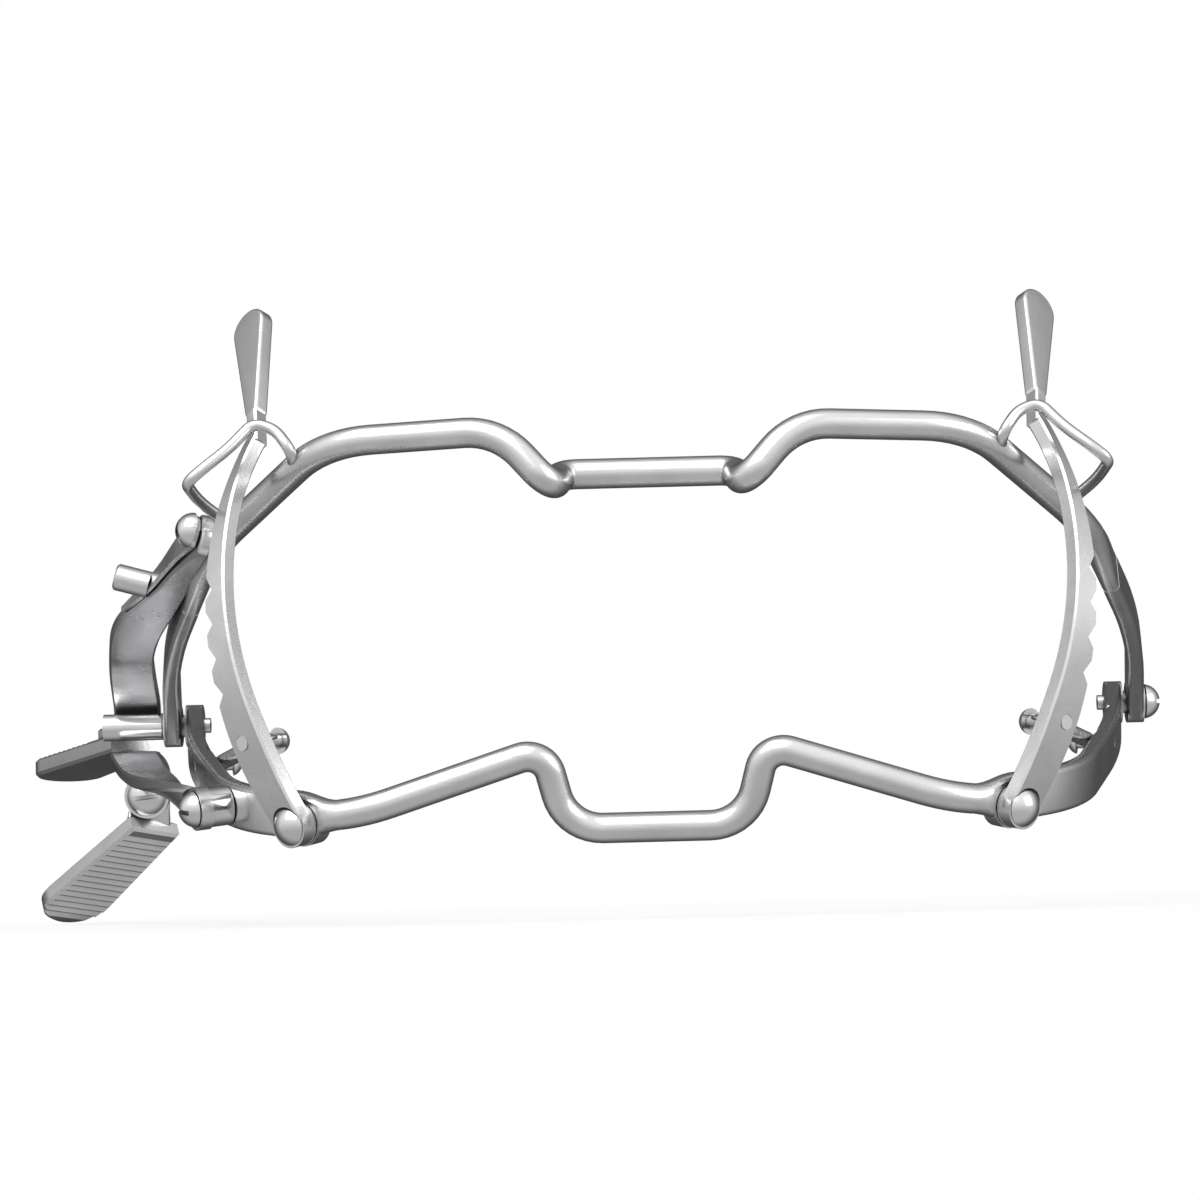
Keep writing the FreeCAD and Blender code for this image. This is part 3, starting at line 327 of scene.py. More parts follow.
@dataclass
class SurfaceEffects:
    """Shader node groups that every finish shares.

    Args:
        grain_detail: Detail of the brushed lines.
        scratch_width: Width of a scratch, as a share of its cell.
        scratch_depth: Depth of a scratch, against the height of the lines.
        wave_detail: Detail of the soft dents.
        cloud_detail: Detail of the handling patches.
        cloud_roughness: Roughness of the handling patches.
        cloud_reach: Values of the noise between which a patch fades in.
        corner_reach: Shade of a corner between which the painted shade fades in.
        corner_samples: Rays that look for a corner.
        edge_reach: Likeness of the eased to the true normal between which wear fades in.
        edge_samples: Rays that look for an edge.
        groups: The groups by name.
    """

    grain_detail: float = 4.0
    scratch_width: float = 0.04
    scratch_depth: float = 0.6
    wave_detail: float = 1.0
    cloud_detail: float = 5.0
    cloud_roughness: float = 0.6
    cloud_reach: Span = (0.3, 0.7)
    corner_reach: Span = (0.15, 0.8)
    corner_samples: int = 8
    edge_reach: Span = (0.98, 0.85)
    edge_samples: int = 4
    groups: dict[str, bpy.types.NodeTree] = field(default_factory=dict)

    def build(self) -> None:
        """Build each group once."""
        self.groups["grain"] = self._grain()
        self.groups["dents"] = self._dents()
        self.groups["patches"] = self._patches()
        self.groups["corners"] = self._corners()
        self.groups["edges"] = self._edges()
        log.info("built %d surface effects", len(self.groups))

    def place(self, nodes: NodeTree, name: str, **inputs: object) -> bpy.types.Node:
        """Place a group in a material.

        Args:
            nodes: The material's nodes.
            name: Name of the effect.
            inputs: Values of the group's inputs, with spaces written as underscores.

        Returns:
            The group node.
        """
        node = nodes.add("ShaderNodeGroup", node_tree=self.groups[name])
        for key, value in inputs.items():
            node.inputs[key.replace("_", " ")].default_value = value
        return node

    def _start(
        self, name: str, inputs: dict[str, str], outputs: dict[str, str]
    ) -> tuple[NodeTree, Sockets, Sockets]:
        """Start a group with its sockets.

        Args:
            name: Name of the group.
            inputs: Socket type for each input name.
            outputs: Socket type for each output name.

        Returns:
            The group's nodes, what it is given and what it puts out.
        """
        tree = bpy.data.node_groups.new(name, "ShaderNodeTree")
        for socket, kind in inputs.items():
            tree.interface.new_socket(socket, in_out="INPUT", socket_type=kind)
        for socket, kind in outputs.items():
            tree.interface.new_socket(socket, in_out="OUTPUT", socket_type=kind)
        nodes = NodeTree(tree)
        return nodes, nodes.add("NodeGroupInput").outputs, nodes.add("NodeGroupOutput").inputs

    def _grain(self) -> bpy.types.NodeTree:
        """Build the brushed grain: fine lines along one direction, broken up by scratches.

        Returns:
            The group.
        """
        nodes, given, put = self._start(
            "brushed_grain",
            {"Lines": VECTOR, "Scratches": FLOAT},
            {"Height": FLOAT, "Gloss": FLOAT},
        )
        place = nodes.add("ShaderNodeTexCoord").outputs["Object"]
        stretch = nodes.vector("MULTIPLY", place, given["Lines"])
        lines = nodes.add(
            "ShaderNodeTexNoise", {"Scale": 1.0, "Detail": self.grain_detail, "Vector": stretch}
        )
        scratches = nodes.add(
            "ShaderNodeTexVoronoi",
            {"Vector": stretch, "Scale": given["Scratches"]},
            feature="DISTANCE_TO_EDGE",
        )
        cut = nodes.add(
            "ShaderNodeMapRange",
            {
                "Value": scratches.outputs["Distance"],
                "From Max": self.scratch_width,
                "To Min": -self.scratch_depth,
                "To Max": 0.0,
            },
        )
        nodes.join(nodes.math("ADD", lines.outputs["Fac"], cut.outputs[0]), put["Height"])
        nodes.join(lines.outputs["Fac"], put["Gloss"])
        return nodes.tree

    def _dents(self) -> bpy.types.NodeTree:
        """Build the soft waves that bending and hammering leave in a rod.

        Returns:
            The group.
        """
        nodes, given, put = self._start("soft_dents", {"Size": FLOAT}, {"Height": FLOAT})
        feeds = {"Detail": self.wave_detail}
        nodes.join(self._noise(nodes, given["Size"], feeds), put["Height"])
        return nodes.tree

    def _patches(self) -> bpy.types.NodeTree:
        """Build the cloudy patches of handling, used for colour and gloss.

        Returns:
            The group.
        """
        nodes, given, put = self._start("handling_patches", {"Size": FLOAT}, {"Mask": FLOAT})
        feeds = {"Detail": self.cloud_detail, "Roughness": self.cloud_roughness}
        clouds = self._noise(nodes, given["Size"], feeds)
        nodes.join(nodes.ramp(clouds, self.cloud_reach), put["Mask"])
        return nodes.tree

    def _noise(
        self, nodes: NodeTree, size: bpy.types.NodeSocket, feeds: dict[str, float]
    ) -> bpy.types.NodeSocket:
        """Add noise of a size.

        Args:
            nodes: The group's nodes.
            size: Size of the noise, in metres.
            feeds: Values of the noise's other inputs.

        Returns:
            The noise.
        """
        place = nodes.add("ShaderNodeTexCoord").outputs["Object"]
        scale = nodes.math("DIVIDE", 1.0, size)
        noise = nodes.add("ShaderNodeTexNoise", {"Vector": place, "Scale": scale} | feeds)
        return noise.outputs["Fac"]

    def _corners(self) -> bpy.types.NodeTree:
        """Build the mask of inner corners and tight gaps, where shade is painted in.

        Returns:
            The group.
        """
        nodes, given, put = self._start(
            "corner_painted_shade", {"Reach": FLOAT, "Strength": FLOAT}, {"Mask": FLOAT}
        )
        reach = {"Distance": given["Reach"]}
        # Painted shade: ambient occlusion finds the corners and gaps that get darkened.
        near = nodes.add("ShaderNodeAmbientOcclusion", reach, samples=self.corner_samples)
        shade = nodes.math("SUBTRACT", 1.0, near.outputs["AO"])
        deep = nodes.ramp(shade, self.corner_reach)
        nodes.join(nodes.math("MULTIPLY", deep, given["Strength"]), put["Mask"])
        return nodes.tree

    def _edges(self) -> bpy.types.NodeTree:
        """Build the mask of outer edges, which handling keeps bright.

        Returns:
            The group.
        """
        nodes, given, put = self._start("edge_wear", {"Radius": FLOAT}, {"Mask": FLOAT})
        eased = nodes.add("ShaderNodeBevel", {"Radius": given["Radius"]}, samples=self.edge_samples)
        shape = nodes.add("ShaderNodeNewGeometry")
        likeness = nodes.vector("DOT_PRODUCT", eased.outputs[0], shape.outputs["Normal"])
        nodes.join(nodes.ramp(likeness, self.edge_reach), put["Mask"])
        return nodes.tree


@dataclass
class Finishes:
    """Materials of the gag, one for each finish.

    Args:
        effects: The effects that the finishes share.
        scratch_scale: Scratches for each grain line.
        dent_size: Size of a soft dent, in metres.
        patch_size: Size of a handling patch, in metres.
        patch_shade: Brightness of a patch against the clean metal.
        rim_reach: Turn away from the viewer between which shade is painted onto a piece's rim.
        rim_strength: Share of the painted shade colour at the rim.
        rim_blend: Blend of the turn away from the viewer.
        corner_roughness: Roughness added in the corners where shade is painted.
        edge_polish: Roughness that wear takes off an edge.
        least_roughness: Lowest roughness.
        made: The materials.
    """

    effects: SurfaceEffects
    scratch_scale: float = 0.05
    dent_size: float = 4.0 * MM
    patch_size: float = 9.0 * MM
    patch_shade: float = 0.86
    rim_reach: Span = (0.6, 0.95)
    rim_strength: float = 0.85
    rim_blend: float = 0.5
    corner_roughness: float = 0.25
    edge_polish: float = 0.08
    least_roughness: float = 0.06
    made: dict[Finish, bpy.types.Material] = field(default_factory=dict)

    MIDDLE = 0.5

    def build(self) -> None:
        """Build each material."""
        for name, finish in FINISHES.items():
            self.made[name] = self._steel(name.value, finish)
        log.info("built %d finishes", len(self.made))

    def _steel(self, name: str, finish: SteelFinish) -> bpy.types.Material:
        """Build a steel material.

        Args:
            name: Name of the material.
            finish: Its colours and marks.

        Returns:
            The material.
        """
        material = bpy.data.materials.new(name)
        nodes = NodeTree.cleared(material)
        place = self.effects.place
        marks = {
            "grain": place(
                nodes, "grain", Lines=finish.grain_scale, Scratches=self.scratch_scale
            ),
            "dents": place(nodes, "dents", Size=self.dent_size),
            "patches": place(nodes, "patches", Size=self.patch_size),
            "corners": place(
                nodes, "corners", Reach=finish.shade_reach, Strength=finish.shade_strength
            ),
            "edges": place(nodes, "edges", Radius=finish.edge_radius),
        }
        steel = nodes.add(
            "ShaderNodeBsdfPrincipled",
            {
                "Metallic": 1.0,
                "Base Color": self._colour(nodes, finish, marks),
                "Roughness": self._gloss(nodes, finish, marks),
                "Normal": self._relief(nodes, finish, marks),
            },
        )
        nodes.add("ShaderNodeOutputMaterial", {"Surface": steel.outputs[0]})
        return material

    def _colour(
        self, nodes: NodeTree, finish: SteelFinish, marks: dict[str, bpy.types.Node]
    ) -> bpy.types.NodeSocket:
        """Darken the metal's colour in random patches, and paint shade into corners and onto the rim.

        Args:
            nodes: The material's nodes.
            finish: The finish.
            marks: The effects by name.

        Returns:
            The colour.
        """
        duller = tuple(channel * self.patch_shade for channel in finish.colour[:3]) + (1.0,)
        colour = nodes.mix(marks["patches"].outputs["Mask"], finish.colour, duller)
        # Painted shade in corners: the metal darkens towards the shade colour where ambient occlusion is deep.
        colour = nodes.mix(marks["corners"].outputs["Mask"], colour, finish.painted_shade)
        # Painted shade at the rim: the colour darkens where the surface turns away from the viewer.
        turned = nodes.add("ShaderNodeLayerWeight", {"Blend": self.rim_blend})
        rim = nodes.ramp(turned.outputs["Facing"], self.rim_reach, (0.0, self.rim_strength))
        return nodes.mix(rim, colour, finish.painted_shade)

    def _gloss(
        self, nodes: NodeTree, finish: SteelFinish, marks: dict[str, bpy.types.Node]
    ) -> bpy.types.NodeSocket:
        """Make the metal rougher in patches and corners and smoother on worn edges.

        Args:
            nodes: The material's nodes.
            finish: The finish.
            marks: The effects by name.

        Returns:
            The roughness.
        """
        lines = nodes.math("SUBTRACT", marks["grain"].outputs["Gloss"], self.MIDDLE)
        patch = nodes.math("SUBTRACT", marks["patches"].outputs["Mask"], self.MIDDLE)
        swing = nodes.math("ADD", lines, patch)
        rough = nodes.math("MULTIPLY", swing, finish.unevenness)
        rough = nodes.math("ADD", rough, finish.roughness)
        dull = nodes.math("MULTIPLY", marks["corners"].outputs["Mask"], self.corner_roughness)
        rough = nodes.math("ADD", rough, dull)
        polish = nodes.math("MULTIPLY", marks["edges"].outputs["Mask"], -self.edge_polish)
        rough = nodes.math("ADD", rough, polish)
        return nodes.math("MAXIMUM", rough, self.least_roughness)

    def _relief(
        self, nodes: NodeTree, finish: SteelFinish, marks: dict[str, bpy.types.Node]
    ) -> bpy.types.NodeSocket:
        """Lay brushed grain over soft dents.

        Args:
            nodes: The material's nodes.
            finish: The finish.
            marks: The effects by name.

        Returns:
            The normal.
        """
        dents, grain = marks["dents"].outputs["Height"], marks["grain"].outputs["Height"]
        waves = nodes.add("ShaderNodeBump", {"Distance": finish.dents, "Height": dents})
        lines = nodes.add(
            "ShaderNodeBump",
            {"Distance": finish.grain, "Height": grain, "Normal": waves.outputs[0]},
        )
        return lines.outputs[0]


class GeometryTree:
    """A Geometry Nodes tree with named inputs that is put on objects."""

    def __init__(self, name: str, inputs: dict[str, str]) -> None:
        """Start the tree.

        Args:
            name: Name of the tree.
            inputs: Socket type for each input name.
        """
        self.tree = bpy.data.node_groups.new(name, "GeometryNodeTree")
        interface = self.tree.interface
        interface.new_socket("Geometry", in_out="INPUT", socket_type=GEOMETRY)
        self.identifiers: dict[str, str] = {}
        for socket, kind in inputs.items():
            made = interface.new_socket(socket, in_out="INPUT", socket_type=kind)
            self.identifiers[socket] = made.identifier
        interface.new_socket("Geometry", in_out="OUTPUT", socket_type=GEOMETRY)
        self.nodes = NodeTree(self.tree)
        self.given = self.nodes.add("NodeGroupInput").outputs
        self.put = self.nodes.add("NodeGroupOutput").inputs

    def finish(self, geometry: bpy.types.NodeSocket, material: bpy.types.NodeSocket) -> None:
        """End the tree with real geometry and its material.

        Args:
            geometry: The geometry to put out.
            material: The socket that holds the material.
        """
        real = self.nodes.add("GeometryNodeRealizeInstances", {0: geometry})
        dressed = self.nodes.add(
            "GeometryNodeSetMaterial", {"Geometry": real.outputs[0], "Material": material}
        )
        self.nodes.join(dressed.outputs[0], self.put[0])

    def modifier(self, piece: bpy.types.Object, **inputs: object) -> bpy.types.Modifier:
        """Put the tree on an object.

        Args:
            piece: The object.
            inputs: Values of the tree's inputs, with spaces written as underscores.

        Returns:
            The modifier.
        """
        modifier = piece.modifiers.new(self.tree.name, "NODES")
        modifier.node_group = self.tree
        for key, value in inputs.items():
            modifier[self.identifiers[key.replace("_", " ")]] = value
        return modifier

    def mesh(
        self, name: str, base: bpy.types.Mesh | None = None, **inputs: object
    ) -> bpy.types.Object:
        """Make a piece from the tree.

        Args:
            name: Name of the piece.
            base: Mesh that the tree starts from, or None where it starts from nothing.
            inputs: Values of the tree's inputs.

        Returns:
            A plain mesh object at the origin, with no modifier.
        """
        base = base or bpy.data.meshes.new(name + "_carrier")
        carrier = in_scene(name + "_carrier", base)
        self.modifier(carrier, **inputs)
        view = bpy.context.evaluated_depsgraph_get()
        made = bpy.data.meshes.new_from_object(carrier.evaluated_get(view))
        bpy.data.objects.remove(carrier)
        made.name = name
        return in_scene(name, made)


@dataclass
class SmoothSteelwork:
    """The steel pieces of the frame, smoothed over their facets and dressed in their finishes.

    Args:
        weld: Distance within which loose corners are joined, in metres.
        crease: Angle above which an edge stays sharp, in radians.
    """

    weld: float = 0.002 * MM
    crease: float = CREASE

    def build(self, finishes: Finishes) -> None:
        """Dress every node of the frame.

        Args:
            finishes: The materials.
        """
        smoothing = self._smoothing()
        slots = {row["node"]: row["material_slot"] for row in frame["record"]["subparts"]}
        for name, node in frame["nodes"].items():
            node.data.materials.clear()
            node.data.materials.append(finishes.made[FINISH_OF_SLOT[slots[name]]])
            smoothing.modifier(node, Weld=self.weld, Crease=self.crease)
            log.info("dressed %s as %s", name, slots[name])

    def _smoothing(self) -> GeometryTree:
        """Build the tree that welds loose facets and shades them smooth up to a crease.

        Returns:
            The tree.
        """
        tree = GeometryTree("smooth_over_facets", {"Weld": FLOAT, "Crease": FLOAT})
        nodes = tree.nodes
        weld = nodes.add(
            "GeometryNodeMergeByDistance",
            {"Geometry": tree.given["Geometry"], "Distance": tree.given["Weld"]},
        )
        smooth = nodes.add(
            "GeometryNodeSetShadeSmooth", {"Geometry": weld.outputs[0]}, domain="FACE"
        )
        angle = nodes.add("GeometryNodeInputMeshEdgeAngle")
        sharper = nodes.add(
            "FunctionNodeCompare",
            {"A": angle.outputs["Unsigned Angle"], "B": tree.given["Crease"]},
            data_type="FLOAT", operation="GREATER_THAN",
        )
        crease = nodes.add(
            "GeometryNodeSetShadeSmooth",
            {"Geometry": smooth.outputs[0], "Selection": sharper.outputs[0], "Shade Smooth": False},
            domain="EDGE",
        )
        real = nodes.add("GeometryNodeRealizeInstances", {0: crease.outputs[0]})
        nodes.join(real.outputs[0], tree.put[0])
        return tree


@dataclass
class RatchetSpring:
    """Tension spring of one ratchet bar, wound coil against coil between two eyes.

    Args:
        side: The side that the spring is on.
        wire: Diameter of the wire, in metres.
        pitch: Distance from turn to turn, in wire diameters.
        coil: Outer diameter of the coil, in metres.
        lead: Straight wire between an eye and the coil, in metres.
        stud_eye: Radius of the eye over the stud, in metres.
        post_eye: Radius of the eye over the post, in metres.
    """

    side: Side
    wire: float = 0.5 * MM
    pitch: float = 1.04
    coil: float = 2.0 * MM
    lead: float = 0.4 * MM
    stud_eye: float = 1.5 * MM
    post_eye: float = 1.25 * MM

    def build(self, finishes: Finishes, tree: GeometryTree) -> bpy.types.Object:
        """Build the spring between its stud and its post.

        Args:
            finishes: The materials.
            tree: The tree that winds a coil.

        Returns:
            The spring.
        """
        name = self.side.value
        stud = self._middle(f"{name}_ratchet_stud")
        post = self._middle(f"{name}_spring_post")
        run = (post - stud).normalized()
        start = stud + run * (self.stud_eye + self.lead)
        end = post - run * (self.post_eye + self.lead)
        length = (end - start).length
        turns = round(length / (self.wire * self.pitch))
        spring = tree.mesh(
            f"{name}_spring_coil",
            Start=start,
            Run=run,
            Length=length,
            Turns=float(turns),
            Radius=(self.coil - self.wire) / 2,
            Wire=self.wire / 2,
            Stud=stud,
            Stud_Eye=self.stud_eye,
            Post=post,
            Post_Eye=self.post_eye,
            Finish=finishes.made[Finish.WIRE],
        )
        for polygon in spring.data.polygons:
            polygon.use_smooth = True
        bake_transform(spring)
        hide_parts(f"{name}_ratchet_spring")
        log.info("wound %s with %d turns", spring.name, turns)
        return spring

    def _middle(self, node: str) -> Vector:
        """Middle of a node's box."""
        low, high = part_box(node)
        return (low + high) / 2


class SpringWinder:
    """Builds the tree that winds a tension spring."""

    WIRE_POINTS = 10
    COIL_POINTS = 14
    EYE_POINTS = 28

    def tree(self) -> GeometryTree:
        """Build the tree: a coil along its run, and an eye at each end.

        Returns:
            The tree.
        """
        made = GeometryTree(
            "spring_winding",
            {
                "Start": VECTOR,
                "Run": VECTOR,
                "Length": FLOAT,
                "Turns": FLOAT,
                "Radius": FLOAT,
                "Wire": FLOAT,
                "Stud": VECTOR,
                "Stud Eye": FLOAT,
                "Post": VECTOR,
                "Post Eye": FLOAT,
                "Finish": MATERIAL,
            },
        )
        nodes, given = made.nodes, made.given
        turned = nodes.add("FunctionNodeAlignRotationToVector", {"Vector": given["Run"]}, axis="Z")
        coil = nodes.add(
            "GeometryNodeCurveSpiral",
            {
                "Resolution": self.COIL_POINTS,
                "Rotations": given["Turns"],
                "Start Radius": given["Radius"],
                "End Radius": given["Radius"],
                "Height": given["Length"],
            },
        )
        laid = nodes.add(
            "GeometryNodeTransform",
            {
                "Geometry": coil.outputs[0],
                "Translation": given["Start"],
                "Rotation": turned.outputs[0],
            },
        )
        both = nodes.add("GeometryNodeJoinGeometry")
        for centre, radius in (("Stud", "Stud Eye"), ("Post", "Post Eye")):
            ring = nodes.add(
                "GeometryNodeCurvePrimitiveCircle",
                {"Resolution": self.EYE_POINTS, "Radius": given[radius]},
            )
            upright = nodes.add(
                "GeometryNodeTransform",
                {"Rotation": (math.pi / 2, 0.0, 0.0), "Geometry": ring.outputs[0]},
            )
            moved = nodes.add(
                "GeometryNodeTransform",
                {
                    "Geometry": upright.outputs[0],
                    "Translation": given[centre],
                    "Rotation": turned.outputs[0],
                },
            )
            nodes.join(moved.outputs[0], both.inputs[0])
        nodes.join(laid.outputs[0], both.inputs[0])
        profile = nodes.add(
            "GeometryNodeCurvePrimitiveCircle",
            {"Resolution": self.WIRE_POINTS, "Radius": given["Wire"]},
        )
        wire = nodes.add(
            "GeometryNodeCurveToMesh",
            {"Fill Caps": True, "Curve": both.outputs[0], "Profile Curve": profile.outputs[0]},
        )
        made.finish(wire.outputs[0], given["Finish"])
        return made


@dataclass(frozen=True)
class Station:
    """One section of a forged strap, in millimetres from the hinge axis.

    Args:
        point: Middle of the section.
        across: Direction of the section's width.
        width: Size along that direction.
        depth: Size square to it and to the run.
    """

    point: Vector
    across: Vector
    width: float
    depth: float


@dataclass(frozen=True)
class BowPlane:
    """Plane of one bow, which turns about the hinge axis.

    Args:
        angle: Angle of the plane over the hinge's level, in radians.
    """

    angle: float

    def at(self, x: float, reach: float, rise: float = 0.0) -> Vector:
        """Point of the plane.

        Args:
            x: Distance to the right of the gag's middle.
            reach: Distance to the front of the hinge axis, along the plane.
            rise: Distance over the plane.

        Returns:
            The point, in millimetres from the hinge axis.
        """
        return Vector((x, 0.0, 0.0)) + self.forward() * reach + self.upward() * rise

    def forward(self) -> Vector:
        """Direction from the hinge axis to the front."""
        return Vector((0.0, -math.cos(self.angle), math.sin(self.angle)))

    def upward(self) -> Vector:
        """Direction square to the plane."""
        return Vector((0.0, math.sin(self.angle), math.cos(self.angle)))


UPPER_PLANE = BowPlane(math.radians(30.0))


class StrapForge:
    """Builds the tree that forges a strap through its stations."""

    STEPS_BETWEEN_STATIONS = 10
    CORNERS = 8

    def tree(self) -> GeometryTree:
        """Build the tree: a chamfered section that changes along a smooth path.

        Returns:
            The tree.
        """
        made = GeometryTree("strap_forging", {"Chamfer": FLOAT, "Finish": MATERIAL})
        nodes, given = made.nodes, made.given
        line = nodes.add("GeometryNodeMeshToCurve", {"Mesh": given["Geometry"]})
        smooth = nodes.add(
            "GeometryNodeCurveSplineType", {0: line.outputs[0]}, spline_type="CATMULL_ROM"
        )
        fine = nodes.add(
            "GeometryNodeSetSplineResolution",
            {"Geometry": smooth.outputs[0], "Resolution": self.STEPS_BETWEEN_STATIONS},
        )
        path = nodes.add("GeometryNodeResampleCurve", {0: fine.outputs[0]}, mode="EVALUATED")
        run = self._keep(nodes, path.outputs[0], "run", nodes.add("GeometryNodeInputTangent"))
        middle = self._keep(nodes, run, "middle", nodes.add("GeometryNodeInputPosition"))
        ring = nodes.add("GeometryNodeCurvePrimitiveCircle", {"Resolution": self.CORNERS})
        turned = nodes.add(
            "GeometryNodeTransform",
            {"Geometry": ring.outputs[0], "Rotation": (0.0, 0.0, math.pi / self.CORNERS)},
        )
        place = nodes.add("GeometryNodeInputPosition")
        corner = self._keep(nodes, turned.outputs[0], "corner", place)
        swept = nodes.add(
            "GeometryNodeCurveToMesh", {"Fill Caps": True, "Curve": middle, "Profile Curve": corner}
        )
        placed = nodes.add(
            "GeometryNodeSetPosition",
            {"Geometry": swept.outputs[0], "Position": self._corner_place(nodes, given["Chamfer"])},
        )
        made.finish(placed.outputs[0], given["Finish"])
        return made

    def _keep(
        self,
        nodes: NodeTree,
        geometry: bpy.types.NodeSocket,
        name: str,
        source: bpy.types.Node,
    ) -> bpy.types.NodeSocket:
        """Store a vector on the points under a name.

        Args:
            nodes: The tree.
            geometry: The geometry to store it on.
            name: The name.
            source: Node whose first output is stored.

        Returns:
            The geometry with the stored vector.
        """
        store = nodes.add(
            "GeometryNodeStoreNamedAttribute",
            {"Geometry": geometry, "Name": name, "Value": source.outputs[0]},
            data_type="FLOAT_VECTOR",
        )
        return store.outputs[0]

    def _stored(self, nodes: NodeTree, name: str, kind: str) -> bpy.types.NodeSocket:
        """Read what is stored on the points under a name.

        Args:
            nodes: The tree.
            name: The name.
            kind: Its data type.

        Returns:
            The stored values.
        """
        read = nodes.add("GeometryNodeInputNamedAttribute", {"Name": name}, data_type=kind)
        return read.outputs["Attribute"]

    def _corner_place(
        self, nodes: NodeTree, chamfer: bpy.types.NodeSocket
    ) -> bpy.types.NodeSocket:
        """Place of each corner of each section.

        Args:
            nodes: The tree.
            chamfer: Size of the chamfer.

        Returns:
            The place.
        """
        run = self._stored(nodes, "run", "FLOAT_VECTOR")
        across = self._stored(nodes, "across", "FLOAT_VECTOR")
        along = nodes.vector("DOT_PRODUCT", across, run)
        across = nodes.vector("SUBTRACT", across, nodes.vector("SCALE", run, along))
        across = nodes.vector("NORMALIZE", across)
        through = nodes.vector("CROSS_PRODUCT", run, across)
        corner = self._stored(nodes, "corner", "FLOAT_VECTOR")
        split = nodes.add("ShaderNodeSeparateXYZ", {0: corner})
        wide, deep = split.outputs["X"], split.outputs["Y"]
        place = self._stored(nodes, "middle", "FLOAT_VECTOR")
        for axis, size, own, other in (
            (across, "width", wide, deep), (through, "depth", deep, wide)
        ):
            half = nodes.math("MULTIPLY", self._stored(nodes, size, "FLOAT"), 0.5)
            own_size, other_size = nodes.math("ABSOLUTE", own), nodes.math("ABSOLUTE", other)
            inner = nodes.math("LESS_THAN", own_size, other_size)
            half = nodes.math("SUBTRACT", half, nodes.math("MULTIPLY", inner, chamfer))
            half = nodes.math("MULTIPLY", half, nodes.math("SIGN", own))
            place = nodes.vector("ADD", place, nodes.vector("SCALE", axis, half))
        return place


